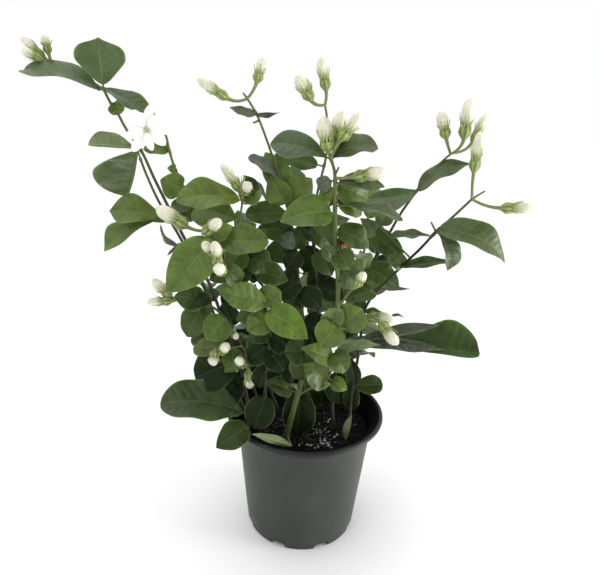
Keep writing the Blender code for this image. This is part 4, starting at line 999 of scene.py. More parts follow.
def petal_material(settings):
    """Soft white petals with faint veins, greenish towards the throat."""
    skin = new_skin("petal silk")
    around, along = skin.uv
    stripe = (around * 26.0 + skin.speckle(240)).maths("PINGPONG", 0.5).ramp(0.0, 0.2, 1.0, 0.0)
    silk = skin.mix(along.ramp(0.16, 0.0), skin.tint, settings.throat)
    silk = skin.mix(stripe * 0.06, silk, settings.throat)
    rough = skin.speckle(500).swing(0.5, 0.66)
    soft = (0.3, (1.0, 1.0, 0.95), 0.0012)
    return skin.dress(silk, rough, (stripe, 0.25, 0.0002), soft=soft)


def pot_material(settings, inside):
    """Moulded plastic: satin, a little mottled, with dry dust and scuffs, and painted shade on the lip
    and inside.

    The pot's turned outline starts under its foot, and its wall's inside starts at this share.
    """
    skin = new_skin("moulded plastic")
    _, outline = skin.uv
    _, _, height = skin.split(skin.place)
    grain = skin.speckle(1500, 3, 0.6)
    cloud = skin.speckle(28, 4)
    flat = skin.node("Mapping", {"Vector": skin.place, "Scale": (1.0, 1.0, 14.0)})
    scuff = skin.speckle(60, 6, 0.7, flat).ramp(0.60, 0.68)
    colour = skin.shade(settings.plastic, cloud.swing(0.88, 1.12))
    # Painted shade: the lip and the top of the wall are darkened above this height.
    colour = skin.mix(height.ramp(*LIP_SHADE, 0.0, 0.92), colour, settings.lip)
    worn = scuff * 0.30
    dusty = (height.ramp(DUST_HEIGHT, 0.0) + 0.35) * cloud.ramp(0.45, 0.75) * 0.35
    colour = skin.mix(worn.maths("MAXIMUM", dusty), colour, settings.dust)
    edge = (inside, inside + 0.02)
    # Painted shade: the inside of the wall is made nearly black, with little specular.
    colour = skin.mix(outline.ramp(*edge), colour, settings.inside)
    rough = cloud.swing(0.40, 0.52) + outline.ramp(*edge, 0.0, 0.4) + worn * 0.4
    inside_specular = outline.ramp(*edge, 0.35, 0.05)
    return skin.dress(colour, rough, (grain - scuff, 0.12, 0.0001), inside_specular)


def soil_material(settings):
    """Damp peat with lighter fibres."""
    skin = new_skin("damp peat")
    lump = skin.speckle(240, 6, 0.7)
    fibre = skin.speckle(900).ramp(0.60, 0.70)
    peat = skin.mix(lump.ramp(0.35, 0.7), settings.peat, settings.bark)
    peat = skin.mix(fibre * 0.5, peat, settings.bark)
    return skin.dress(peat, lump.swing(0.7, 0.95), (lump, 1.0, 0.0015), 0.15)


def lump_material(name, scale, light, least_rough, strength, distance):
    """Rough lumps in their own tints; light is the ramp that makes them dark and pale."""
    skin = new_skin(name)
    mottle = skin.speckle(scale, 4)
    colour = skin.shade(skin.tint, mottle.ramp(*light))
    rough = mottle.swing(least_rough, 0.95)
    return skin.dress(colour, rough, (mottle, strength, distance))


# Shaping


def start_mesh():
    """A bmesh with a UV map, a tint for each point, and a place among a leaf's veins."""
    bm = bmesh.new()
    bm.loops.layers.uv.new("UVMap")
    bm.verts.layers.float_color.new("tint")
    bm.verts.layers.float_vector.new("vein")
    return bm


def make_object(name, bm):
    """An object at the origin with a bmesh as its mesh."""
    mesh = bpy.data.meshes.new(name)
    bm.to_mesh(mesh)
    bm.free()
    return bpy.data.objects.new(name, mesh)


def smooth_faces(mesh, sharp):
    """Smooth shading, with the edges left sharp where faces meet at more than an angle."""
    mesh.shade_smooth()
    mesh.set_sharp_from_angle(angle=math.radians(sharp))


def piece(name, bm, materials, nodes, sharp=50):
    """Makes an object of a bmesh, in the place of the CAD nodes that it stands for."""
    bmesh.ops.recalc_face_normals(bm, faces=bm.faces)
    obj = make_object(name, bm)
    smooth_faces(obj.data, sharp)
    for material in materials:
        obj.data.materials.append(material)
    bpy.context.collection.objects.link(obj)
    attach(obj, "root")
    if nodes:
        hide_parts(*nodes)
    return obj


def sheet(bm, columns, rows, place, tint, material=0, vein=None):
    """A grid moved to place(u, v), u round and v along, and sewn up where its sides meet.

    The tint and the vein place may be functions of the same two values.
    """
    tints = bm.verts.layers.float_color["tint"]
    veins = bm.verts.layers.float_vector["vein"]
    known = len(bm.faces)
    made = bmesh.ops.create_grid(bm, x_segments=columns, y_segments=rows, size=0.5, calc_uvs=True)
    for vert in made["verts"]:
        u, v = vert.co.x + 0.5, vert.co.y + 0.5
        vert.co = place(u, v) * MM
        vert[tints] = tint(u, v) if callable(tint) else tint
        if vein:
            vert[veins] = vein(u, v)
    bm.faces.ensure_lookup_table()
    for face in bm.faces[known:]:
        face.material_index = material
    bmesh.ops.remove_doubles(bm, verts=made["verts"], dist=SEAM)


def turned(bm, profile, sides, tint, seat, axes, material=0, ribs=0):
    """A profile of (radius, height) turned round the last of three axes at a seat.

    ribs is the height of the calyx's ribs, as a share of the radius.
    """
    first, second, axis = axes
    rows = len(profile) - 1

    def place(u, v):
        radius, height = profile[round(v * rows)]
        angle = math.tau * u
        wide = radius * (1 + ribs * math.cos(CALYX_RIBS * angle))
        return seat + axis * height + outward(first, second, angle) * wide

    sheet(bm, sides, rows, place, tint, material)


def tube(bm, route, radius, sides, tint, material=0):
    """A closed tube along a route; radius is a function of the share of its length."""
    reach = lengths_along(route)
    rings = [(*spot, radius(far / reach[-1])) for spot, far in zip(frames(route), reach)]
    rings = [(*rings[0][:3], 0), *rings, (*rings[-1][:3], 0)]
    rows = len(rings) - 1

    def place(u, v):
        point, first, second, wide = rings[round(v * rows)]
        return point + outward(first, second, math.tau * u) * wide

    sheet(bm, sides, rows, place, tint, material)


def clamp(value, low, high):
    return min(high, max(low, value))


def smooth_step(value, start, end):
    share = clamp((value - start) / (end - start), 0, 1)
    return share * share * (3 - 2 * share)


def polar(radius, angle, height=0):
    return Vector((radius * math.cos(angle), radius * math.sin(angle), height))


def outward(first, second, angle):
    """The direction at this angle from the first of two square directions to the second."""
    return first * math.cos(angle) + second * math.sin(angle)


def fold_over(u):
    """From -1 to 1 across a blade's top as u goes to a half, and back under it."""
    return 4 * u - 1 if u <= 0.5 else 3 - 4 * u


def blend_colour(first, second, share):
    return tuple(a + (b - a) * share for a, b in zip(first, second))


def vary(colour, draw, spread=0.10):
    """A colour a little lighter or darker, and a little warmer or cooler."""
    light = 1 + draw.uniform(-spread, spread)
    warm = 1 + draw.uniform(-spread, spread) * 0.5
    return (colour[0] * light * warm, colour[1] * light, colour[2] * light / warm, 1)


# Routes


def smooth_route(points, step):
    """Points about one step apart on a smooth curve through the given points."""
    ends = [points[0] * 2 - points[1]] + points + [points[-1] * 2 - points[-2]]
    route = []
    for before, start, end, after in zip(ends, ends[1:], ends[2:], ends[3:]):
        count = max(1, round((end - start).length / step))
        for i in range(count):
            t = i / count
            point = start + (end - before) * (t / 2)
            point += (before * 2 - start * 5 + end * 4 - after) * (t * t / 2)
            point += (start * 3 - before - end * 3 + after) * (t * t * t / 2)
            route.append(point)
    return route + [points[-1]]


def nearest_on(routes, place):
    """The point of the routes that is nearest to a place."""
    best = None
    for route in routes:
        for start, end in zip(route, route[1:]):
            along = end - start
            t = clamp((place - start).dot(along) / max(along.length_squared, TINY), 0, 1)
            point = start + along * t
            gap = (place - point).length
            if best is None or gap < best[0]:
                best = (gap, point)
    return best[1]


def nearest_in_sight(routes, px):
    """The point of the routes, above the soil, that is nearest to a pixel's line of sight."""
    soil = SOIL_TOP + 2
    routes = [[point for point in routes[0] if point.z > soil], *routes[1:]]
    point = nearest_on(routes, sight(px, 0))
    for _ in range(4):
        point = nearest_on(routes, sight(px, point.y))
    return point


def places(routes, foot, pixels, near):
    """Where a foot meets the routes, and the places of pixels so near to the camera."""
    root = nearest_in_sight(routes, foot)
    return root, *(sight(px, root.y - step) for px, step in zip(pixels, near))


def cane_routes(cane):
    """The cane's own curve from the bottom of its hole, and those of its twigs."""
    foot = Vector((*cane.base, SOIL_TOP))
    above = [sight((x, y), depth) for x, y, depth in cane.route]
    rise = smooth_route([foot + Z_AXIS * ROUTE_START] + above, ROUTE_STEP)
    routes = [[foot - Z_AXIS * (STEM_HOLE_DEPTH - 2), foot] + rise]
    for twig in cane.twigs:
        points = [sight((x, y), depth) for x, y, depth in twig]
        routes.append(smooth_route([nearest_on(routes, points[0])] + points, ROUTE_STEP))
    return routes


def lengths_along(route):
    reach = [0]
    for start, end in zip(route, route[1:]):
        reach.append(reach[-1] + (end - start).length)
    return reach


def point_at(route, share):
    """The point this share of the way along a route."""
    reach = lengths_along(route)
    target = share * reach[-1]
    for start, end, near, far in zip(route, route[1:], reach, reach[1:]):
        if far >= target:
            return start.lerp(end, (target - near) / max(far - near, TINY))
    return route[-1]


def frames(route):
    """Each point of a route with two directions square to it that don't twist."""
    made = []
    side = None
    for i, point in enumerate(route):
        along = (route[min(i + 1, len(route) - 1)] - route[max(i - 1, 0)]).normalized()
        if side is None:
            side = X_AXIS if abs(along.x) < 0.8 else Y_AXIS
        side = (side - along * side.dot(along)).normalized()
        made.append((point, side, along.cross(side)))
    return made


# Leaves, and the places of stem, leaf and calyx in a cane's list of materials

STEM, LEAF, CALYX = range(3)


def half_width(u, blade):
    """Half a blade's width at u, from 0 at its foot to 1 at its tip, widest at its belly."""
    power = math.log(0.5) / math.log(blade.belly)
    sharpness = FOOT_SHARPNESS + (blade.sharp - FOOT_SHARPNESS) * u
    return blade.wide / 2 * max(0, math.sin(math.pi * u**power)) ** sharpness


def blade_frame(blade, normal):
    """A function that gives the midrib's point, its upward direction and its side at u."""
    axis = blade.tip - blade.foot
    side = axis.normalized().cross(normal).normalized()

    def at(u):
        point = blade.foot + axis * u + normal * (4 * blade.arch * u * (1 - u))
        along = axis + normal * (4 * blade.arch * (1 - 2 * u))
        return point, side.cross(along).normalized(), side

    return at


def grow_leaf(bm, name, root, blade, normal):
    """A stalk from the cane's middle, and a folded, waved and quilted blade.

    The blade's foot and tip are places here. Its lop is the share by which one half is wider
    than half the blade, and the other narrower.
    """
    draw = random.Random(name)
    leaves = bpy.context.scene.jasmine_leaves
    stems = bpy.context.scene.jasmine_stems
    foot = blade.foot
    at = blade_frame(blade, normal)
    colour = vary(getattr(leaves, blade.look), draw)
    ahead, _, _ = at(0.10)
    bow = foot.lerp(root, 0.5) - (ahead - foot) * 0.15
    stalk = smooth_route([root, bow, foot, ahead], PETIOLE_STEP)
    stalk_tint = blend_colour(stems.stalk, colour, 0.4)
    tube(bm, stalk, lambda share: PETIOLE_RADIUS * (1 - 0.35 * share), 8, stalk_tint, STEM)

    long = (blade.tip - foot).length
    columns = 4 * round(clamp(blade.wide / BLADE_COLUMN, 2, 9))
    rows = round(clamp(long / BLADE_ROW, 10, 60))
    sections = [(*at(i / rows), half_width(i / rows, blade)) for i in range(rows + 1)]
    waves = draw.uniform(1.2, 2.3)
    phases = (draw.random(), draw.random())
    curl = draw.uniform(-0.05, 0.05)
    fold = leaves.fold * draw.uniform(0.8, 1.35)
    rise, flat = math.sin(fold), math.cos(fold)
    skin = leaves.thickness / MM / 2
    spacing = leaves.vein_spacing / MM * draw.uniform(0.85, 1.2)
    swell = leaves.quilting / MM * blade.ripple

    def vein(u, v):
        """Rows of side veins that slant to the tip, the reach from the midrib, and the span."""
        across = fold_over(u)
        reach = abs(across) * sections[round(v * rows)][3]
        row = (v * long - VEIN_SLANT * reach) / spacing + (VEIN_OFFSET if across > 0 else 0)
        return row, reach, abs(across)

    def place(u, v):
        point, up, side, half = sections[round(v * rows)]
        across = fold_over(u)
        row, reach, span = vein(u, v)
        full = min(1, half / 3)
        wave = math.sin(math.tau * (waves * v + phases[across > 0]))
        lift = half * rise * math.hypot(across, 0.15)
        lift += half * (leaves.wave * wave * span * span + curl * across)
        lift += swell * (1 - math.cos(math.tau * row)) * 2 * span * (1 - span) * full
        wall = skin * (1 - span**4) * full
        if u < 0.5:
            lift += wall - GROOVE_DEPTH * math.exp(-((reach / GROOVE_WIDTH) ** 2)) * full
        else:
            ridge = RIDGE_HEIGHT * math.exp(-((reach / RIDGE_WIDTH) ** 2)) * (1 - 0.6 * v)
            lift -= wall + ridge * full
        broad = 1 + blade.lop * math.copysign(1, across)
        return point + (side * (across * half * flat) + up * lift) * broad

    sheet(bm, columns, rows, place, colour, LEAF, vein)


def blade_leaf(bm, name, routes, blade):
    """A leaf that lies where the photograph shows it."""
    root, foot, tip = places(routes, blade.foot, (blade.foot, blade.tip), blade.near)
    axis = (tip - foot).normalized()
    view = EYE - (foot + tip) / 2
    facing = (view - axis * view.dot(axis)).normalized()
    normal = Matrix.Rotation(math.radians(blade.turn), 3, axis) @ facing
    grow_leaf(bm, name, root, blade._replace(foot=foot, tip=tip), normal)
    return root


def spray_leaf(bm, name, route, spray):
    """A leaf that the photograph hides, set by the way it points."""
    draw = random.Random(name)
    root = point_at(route, spray.at)
    aim = math.radians(spray.aim + draw.uniform(-10, 10))
    rise = math.radians(spray.rise - SPRAY_DROOP + draw.uniform(-24, 24))
    long = spray.long * draw.uniform(0.86, 1.1)
    flat = polar(1, aim)
    foot = root + flat * SPRAY_REACH + Z_AXIS * SPRAY_LIFT
    tip = foot + (flat * math.cos(rise) + Z_AXIS * math.sin(rise)) * long
    axis = (tip - foot).normalized()
    normal = (Z_AXIS - axis * axis.z).normalized()
    normal = Matrix.Rotation(math.radians(draw.uniform(-42, 42)), 3, axis) @ normal
    arch = draw.uniform(*SPRAY_ARCHES)
    look = draw.choice(("green", "green", "shaded", "grey"))
    blade = Blade(foot, tip, long * SPRAY_SHAPE, arch=arch, look=look)
    grow_leaf(bm, name, root, blade, normal)
    return root


# Calyces, buds and the flower


def bud_radius(share, wide):
    """A closed bud's radius from its tube, at 0, to its tip, at 1."""
    if share < BUD_HEAD:
        return TUBE_RADIUS + (wide / 2 - TUBE_RADIUS) * smooth_step(share, *BUD_SWELL)
    return wide / 2 * max(0, 1 - ((share - BUD_HEAD) / (1 - BUD_HEAD)) ** 2) ** 0.62


def tooth_radius(share):
    """A calyx tooth's radius, thin where it leaves the cup and at its tip."""
    return TOOTH_RADIUS * (1 - 0.72 * share) * min(1, 0.4 + 3 * share)


def grow_calyx(bm, name, root, cup, tip, wide, open_teeth=False):
    """A flower stalk that widens into a ribbed cup, with long narrow teeth on its rim."""
    draw = random.Random(name)
    blooms = bpy.context.scene.jasmine_blooms
    stems = bpy.context.scene.jasmine_stems
    colour = vary(blooms.calyx, draw, 0.08)
    axis = (tip - cup).normalized()
    long = (tip - cup).length
    bend = cup - axis * (0.5 * (cup - root).length)
    stalk = []
    for i in range(CALYX_STEPS + 1):
        t = i / CALYX_STEPS
        stalk.append(root * (1 - t) ** 2 + bend * (2 * t * (1 - t)) + cup * t * t)
    stalk[-1] = cup - axis * 1.5
    stalk_tint = blend_colour(colour, stems.young, 0.7)
    tube(bm, stalk, lambda share: PEDICEL_RADIUS * (0.95 + 0.35 * share**3), 10, stalk_tint, CALYX)

    _, first, second = frames([cup, cup + axis])[0]
    closed = not open_teeth and wide > 4
    full = max(CALYX_RADIUS, CALYX_TO_BUD_WIDTH * wide) if closed else CALYX_RADIUS
    top = min(CALYX_TOP, CALYX_TO_BUD_LENGTH * long) if closed else OPEN_CALYX_TOP

    def bulb(height):
        """The cup's outer radius at a height over its base."""
        share = (height + CALYX_UNDER) / (top + CALYX_UNDER)
        swell = smooth_step(share, 0, 0.65) - 0.12 * smooth_step(share, 0.7, 1)
        return CALYX_NECK + (full - CALYX_NECK) * swell

    profile = [(0, -3), (0.95, -3)]
    for i in range(CALYX_STEPS + 1):
        height = (top + CALYX_UNDER) * i / CALYX_STEPS - CALYX_UNDER
        profile.append((bulb(height), height))
    profile += [(bulb(top) - 0.5, top - 0.25), (max(1.5, 0.78 * full), 0.4 * top)]
    profile += [(1.5, -0.1), (0, -0.1)]
    axes = (first, second, axis)
    turned(bm, profile, 4 * CALYX_RIBS, colour, cup, axes, CALYX, RIB_HEIGHT)

    count = 12 if wide > 7 or open_teeth else 8
    tooth = OPEN_TOOTH if open_teeth else clamp(TOOTH_TO_BUD_LENGTH * long, *TOOTH_LENGTHS)
    tip_tint = blend_colour(colour, TOOTH_TINT, 0.45)
    for i in range(count):
        angle = math.tau * (i + draw.uniform(-0.2, 0.2)) / count
        out = outward(first, second, angle)
        beside = outward(second, -first, angle)
        reach = tooth * draw.uniform(0.72, 1.06)
        flare = draw.uniform(0.1, 0.9) * (3.4 if open_teeth else 1)
        sway = draw.uniform(-1.0, 1.0)
        points = []
        for k in range(TOOTH_STEPS + 1):
            share = k / TOOTH_STEPS
            height = 0.5 * top + (reach - 0.5 * top) * share
            hug = bud_radius(height / long, wide) + 0.5 if closed else 0
            radius = max(bulb(min(height, top)) * (1 - 0.2 * share), hug) - 0.3 * (1 - share)
            radius += flare * share**3
            points.append(cup + axis * height + out * radius + beside * sway * share * share)
        tube(bm, points, tooth_radius, 6, tip_tint, CALYX)


def bud_places(routes, bud):
    """A bud's stalk root, its calyx and its tip."""
    return places(routes, bud.foot, (bud.cup, bud.tip), bud.near)


def grow_bud(name, node, cup, tip, wide, material):
    """A closed bud whose petals are furled round each other like an umbrella."""
    draw = random.Random(name)
    blooms = bpy.context.scene.jasmine_blooms
    axis = tip - cup
    _, first, second = frames([cup, tip])[0]
    twist = draw.uniform(0.16, 0.24)
    start = draw.random()
    lean = draw.uniform(-0.04, 0.04)
    blush = draw.uniform(0, 0.5)
    head = vary(blend_colour(blooms.cream, BUD_BLUSH, blush), draw, 0.03)
    seat = COROLLA_GAP / axis.length

    def place(u, v):
        share = seat + (1 - seat) * v
        radius = 0 if v in (0, 1) else bud_radius(share, wide)
        fold = (u * FOLD_COUNT) % 1
        radius *= 1 + FOLD_HEIGHT * (fold - 0.5) * smooth_step(share, 0.3, 0.62)
        angle = math.tau * (start + u - twist * v)
        bow = first * (lean * axis.length * math.sin(math.pi * share))
        return cup + axis * share + bow + outward(first, second, angle) * radius

    bm = start_mesh()
    sheet(bm, FOLD_COUNT * 7, BUD_ROWS, place, head)
    piece(name, bm, [material], [node], 60)


def flower_places(routes):
    """The open flower's stalk root, its calyx and its throat."""
    long = bpy.context.scene.jasmine_blooms.tube_length / MM
    near = (FLOWER_CUP_NEAR, FLOWER_CUP_NEAR + long)
    root, cup, toward = places(routes, FLOWER_CUP, (FLOWER_CUP, FLOWER_FACE), near)
    face = (toward - cup).normalized() * 0.8 + (EYE - cup).normalized() * 0.2
    return root, cup, cup + face.normalized() * long


def grow_petal(bm, name, throat, out, axis, inner):
    """One soft petal, broad and blunt, a little cupped and rippled."""
    draw = random.Random(name)
    blooms = bpy.context.scene.jasmine_blooms
    rise = blooms.petal_rise * (1.9 if inner else 0.7) + math.radians(draw.uniform(-4, 4))
    long = (blooms.petal_length / MM - 1.5) * (0.86 if inner else 1) * draw.uniform(0.93, 1.07)
    wide = blooms.petal_width / MM * draw.uniform(0.9, 1.08)
    foot = throat + axis * (0.7 if inner else 0) + out * (1.7 if inner else 1.9)
    along = (out * math.cos(rise) + axis * math.sin(rise)).normalized()
    normal = (axis * math.cos(rise) - out * math.sin(rise)).normalized()
    side = along.cross(normal).normalized()
    tint = vary(blooms.petal, draw, 0.02)
    phase = draw.random()
    droop = draw.uniform(1.0, 2.6)
    skew = draw.uniform(-1.2, 1.2)

    def place(u, v):
        across = fold_over(u)
        broad = math.sin(math.pi * v**1.1) ** 0.55 if 0 < v < 1 else 0
        broad = max(broad, 0.34 * (1 - v)) if v < 1 else 0
        half = wide / 2 * broad
        lift = 0.9 * math.sin(math.pi * v) - droop * v * v
        lift += half * 0.16 * across * across * (1 - v)
        wave = math.sin(math.tau * (1.3 * v + phase) + 2 * across)
        lift += PETAL_RIPPLE * wave * abs(across)
        wall = PETAL_WALL * (1 - across**4)
        lift += wall if u < 0.5 else -wall
        bend = side * (skew * v * v)
        return foot + along * (long * v) + bend + side * (across * half) + normal * lift

    sheet(bm, 20, 16, place, tint)


# Operators


class JASMINE_OT_pot(bpy.types.Operator):
    """Turn the nursery pot and cut its drain notches"""

    bl_idname = "jasmine.pot"
    bl_label = "Turn the Pot"

    def execute(self, context):
        settings = context.scene.jasmine_pot
        foot, neck = POT_FOOT_RADIUS, POT_NECK_RADIUS
        lip_low = POT_HEIGHT - POT_LIP_HEIGHT
        profile = [(0, 0), (foot - 12, 0), (foot - 1.2, 0), (foot - 0.35, 0.35), (foot, 1.2)]
        for share in (0.2, 0.4, 0.6, 0.8, 1):
            profile.append((foot + (neck - foot) * share, (lip_low - 4) * share))
        profile += [(neck + 0.8, lip_low - 2.2), (neck + 2.4, lip_low - 0.5), (neck + 4.5, lip_low)]
        profile += self.roll(POT_LIP_RADIUS, lip_low, POT_HEIGHT)
        inside = len(profile) - 1
        profile += [(neck + 3.6, POT_HEIGHT - 0.3), (neck + 0.6, lip_low - 0.5)]
        profile += [(neck - POT_WALL, lip_low - 4)]
        profile += [(foot - POT_WALL + 0.3, POT_FLOOR), (0, POT_FLOOR)]

        bm = start_mesh()
        axes = (X_AXIS, Y_AXIS, Z_AXIS)
        turned(bm, profile, settings.sides, settings.plastic, Vector(), axes)
        plastic = pot_material(settings, inside / (len(profile) - 1))
        pot = piece("nursery_pot", bm, [plastic], ["pot"], POT_SHARP)
        self.cut_drains(pot)
        return {"FINISHED"}

    def roll(self, wide, low, high):
        """The lip's rounded outer edge."""
        middle = (low + high) / 2
        radius = (high - low) / 2
        angles = [math.pi * (i / 8 - 0.5) for i in range(9)]
        across = wide - radius
        return [(across + radius * math.cos(a), middle + radius * math.sin(a)) for a in angles]

    def cut_drains(self, pot):
        drains = bpy.data.collections.new("drains")
        bpy.context.scene.collection.children.link(drains)
        for i in range(DRAIN_COUNT):
            drains.objects.link(self.drain(math.tau * (i + 0.5) / DRAIN_COUNT - math.pi / 2))
        boolean = pot.modifiers.new("drains", "BOOLEAN")
        boolean.operation = "DIFFERENCE"
        boolean.operand_type = "COLLECTION"
        boolean.collection = drains
        graph = bpy.context.evaluated_depsgraph_get()
        mesh = bpy.data.meshes.new_from_object(pot.evaluated_get(graph))
        pot.modifiers.clear()
        pot.data = mesh
        smooth_faces(mesh, POT_SHARP)
        for cutter in list(drains.objects):
            bpy.data.objects.remove(cutter)
        bpy.data.collections.remove(drains)

    def drain(self, turn):
        """A block with a rounded top that cuts one notch out of the foot."""
        bm = bmesh.new()
        bmesh.ops.create_cube(bm, size=1)
        size = Vector((DRAIN_REACH, DRAIN_WIDTH, DRAIN_HEIGHT + 2)) * MM
        bmesh.ops.scale(bm, vec=size, verts=bm.verts)
        top = []
        for edge in bm.edges:
            start, end = (vert.co for vert in edge.verts)
            if min(start.z, end.z) > 0 and abs(start.y - end.y) < SEAM:
                top.append(edge)
        bmesh.ops.bevel(
            bm,
            geom=top,
            offset=DRAIN_ROUND * MM,
            affect="EDGES",
            segments=4,
            profile=0.5,
            material=-1,
        )
        move = Vector((POT_FOOT_RADIUS - DRAIN_REACH / 2 + 2, 0, DRAIN_HEIGHT / 2 - 1)) * MM
        bmesh.ops.translate(bm, vec=move, verts=bm.verts)
        bmesh.ops.rotate(bm, cent=(0, 0, 0), matrix=Matrix.Rotation(turn, 3, "Z"), verts=bm.verts)
        return make_object("drain", bm)


class JASMINE_OT_soil(bpy.types.Operator):
    """Fill the pot with crumbly peat, bark crumbs and white grains"""

    bl_idname = "jasmine.soil"
    bl_label = "Fill the Soil"

    def execute(self, context):
        settings = context.scene.jasmine_soil
        self.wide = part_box("soil")[1][0] / MM - 0.1
        low = POT_FLOOR + SOIL_CLEARANCE
        foot = POT_FOOT_RADIUS - POT_WALL - SOIL_CLEARANCE
        profile = [(0, low), (foot, low), (self.wide, SOIL_TOP - 3)]
        wall_end = len(profile)
        for i in range(SOIL_RINGS + 1):
            profile.append((self.wide * (1 - i / SOIL_RINGS), SOIL_TOP))
        rows = len(profile) - 1

        def place(u, v):
            i = round(v * rows)
            radius, height = profile[i]
            spot = polar(radius, math.tau * u, height)
            if i >= wall_end:
                spot.z = self.top(spot)
            return spot

        bm = start_mesh()
        sheet(bm, 110, rows, place, settings.peat)
        piece("potting_soil", bm, [soil_material(settings)], ["soil"], 60)
        bark = lump_material("bark crumbs", 800, (0.3, 0.7, 0.6, 1.3), 0.75, 0.8, 0.0005)
        self.scatter("bark_crumbs", CRUMB_SEED, settings.crumbs, CRUMB_SIZES, settings.bark, bark)
        white = lump_material("perlite", 1400, (0.3, 0.6, 0.7, 1.05), 0.8, 0.9, 0.0004)
        grains = (GRAIN_SEED, settings.grains, GRAIN_SIZES, settings.perlite)
        self.scatter("perlite_grains", *grains, white, WASHED_SHARE)
        return {"FINISHED"}

    def top(self, spot):
        """The height of the soil's top, heaped a little and rough all over."""
        place = Vector((spot.x, spot.y, 0))
        waves = [noise.noise(place * scale) * share for scale, share in SOIL_WAVES]
        rough = SOIL_RELIEF * sum(waves)
        return SOIL_TOP - 0.5 + rough * min(1, (self.wide - place.length) / 8 + 0.3)

    def scatter(self, name, seed, count, sizes, colour, material, washed=0):
        """Small rough lumps, half sunk in the soil; a share is washed together in front."""
        draw = random.Random(seed)
        bm = start_mesh()
        tints = bm.verts.layers.float_color["tint"]
        wide = self.wide - LUMP_INSET
        for _ in range(count):
            radius = wide * math.sqrt(draw.random())
            spot = polar(radius, math.tau * draw.random())
            if draw.random() < washed:
                across, along = (draw.gauss(0, spread) for spread in WASHED_SPREAD)
                spot = WASHED_SPOT + Vector((across, along, 0))
            if spot.length > wide:
                continue
            size = sizes[0] + (sizes[1] - sizes[0]) * draw.random() ** 2.5
            spot.z = self.top(spot) + size * draw.uniform(0.0, 0.4)
            made = bmesh.ops.create_icosphere(bm, subdivisions=1, radius=size * MM)
            stretch = Vector((draw.uniform(0.7, 1.5), draw.uniform(0.6, 1.1), draw.uniform(0.5, 0.9)))
            bmesh.ops.scale(bm, vec=stretch, verts=made["verts"])
            turn = Matrix.Rotation(math.tau * draw.random(), 3, "Z")
            tilt = Matrix.Rotation(draw.uniform(-0.6, 0.6), 3, "X")
            bmesh.ops.rotate(bm, cent=(0, 0, 0), matrix=turn @ tilt, verts=made["verts"])
            tint = vary(colour, draw, 0.22)
            for vert in made["verts"]:
                vert.co *= draw.uniform(0.8, 1.2)
                vert[tints] = tint
            bmesh.ops.translate(bm, vec=spot * MM, verts=made["verts"])
        piece(name, bm, [material], [], 30)


class JASMINE_OT_canes(bpy.types.Operator):
    """Grow the canes with their twigs, leaves and calyces"""

    bl_idname = "jasmine.canes"
    bl_label = "Grow the Canes"

    def execute(self, context):
        scene = context.scene
        materials = [stem_material(), leaf_material(scene.jasmine_leaves), calyx_material()]
        for name, cane in CANES.items():
            self.grow(name, cane, materials)
        return {"FINISHED"}

    def grow(self, name, cane, materials):
        routes = cane_routes(cane)
        bm = start_mesh()
        roots = []
        for i, blade in enumerate(BLADES.get(name, ())):
            roots.append(blade_leaf(bm, f"{name}_blade{i}", routes, blade))
        for i, blade in enumerate(LEAFLETS.get(name, ())):
            blade_leaf(bm, f"{name}_leaflet{i}", routes, blade)
        for i, spray in enumerate(SPRAYS.get(name, ())):
            roots.append(spray_leaf(bm, f"{name}_spray{i}", routes[0], spray))
        for i, bud in enumerate(BUDS.get(name, ())):
            grow_calyx(bm, f"{name}_calyx{i}", *bud_places(routes, bud), bud.wide)
        for i, spent in enumerate(SPENT.get(name, ())):
            ends = bud_places(routes, spent)
            grow_calyx(bm, f"{name}_spent{i}", *ends, spent.wide, open_teeth=True)
        if name == FLOWER_CANE:
            grow_calyx(bm, f"{name}_calyx", *flower_places(routes), FLOWER_CALYX_WIDTH)
        young = bpy.context.scene.jasmine_stems.young
        for peg in PEGS.get(name, ()):
            root, end = places(routes, peg.foot, (peg.end,), (peg.near,))
            points = [root, root.lerp(end, 0.5), end]
            tube(bm, points, lambda share: PEG_RADIUS - 0.25 * share, 8, young, STEM)
        self.grow_stems(bm, cane, routes, roots)
        piece("leafy_" + name, bm, materials, [name], 50)

    def grow_stems(self, bm, cane, routes, roots):
        """The cane itself and its twigs, swollen where a leaf grows."""
        stems = bpy.context.scene.jasmine_stems
        low, high = cane.thick
        for i, route in enumerate(routes):
            reach = lengths_along(route)
            swellings = self.swellings(route, reach, roots)

            def radius(share):
                own = low / 2 + (high - low) / 2 * share if i == 0 else high / 2 * (1 - 0.2 * share)
                swell = 0
                for spot in swellings:
                    away = (share * reach[-1] - spot) / NODE_LENGTH
                    swell = max(swell, math.exp(-(away**2)))
                return own + NODE_SWELL * swell

            def tint(u, v):
                youth = smooth_step(v, 0.6, 1.02) if i == 0 else TWIG_YOUTH
                return blend_colour(stems.wood, stems.young, clamp(cane.youth + youth, 0, 1))

            tube(bm, route, radius, TWIG_SIDES if i else CANE_SIDES, tint, STEM)

    def swellings(self, route, reach, roots):
        """How far along a route each leaf grows from it."""
        found = []
        for root in roots:
            gaps = [(root - point).length for point in route]
            nearest = gaps.index(min(gaps))
            if gaps[nearest] < ROUTE_STEP:
                found.append(reach[nearest])
        return found


class JASMINE_OT_buds(bpy.types.Operator):
    """Set a closed bud on each calyx"""

    bl_idname = "jasmine.buds"
    bl_label = "Set the Buds"

    def execute(self, context):
        material = bud_material(context.scene.jasmine_blooms)
        for name, buds in BUDS.items():
            routes = cane_routes(CANES[name])
            short = name.split("_", 1)[1]
            for i, bud in enumerate(buds):
                _, cup, tip = bud_places(routes, bud)
                node = f"bud_{short}_{i + 1}"
                grow_bud(f"furled_{short}_{i + 1}", node, cup, tip, bud.wide, material)
        return {"FINISHED"}


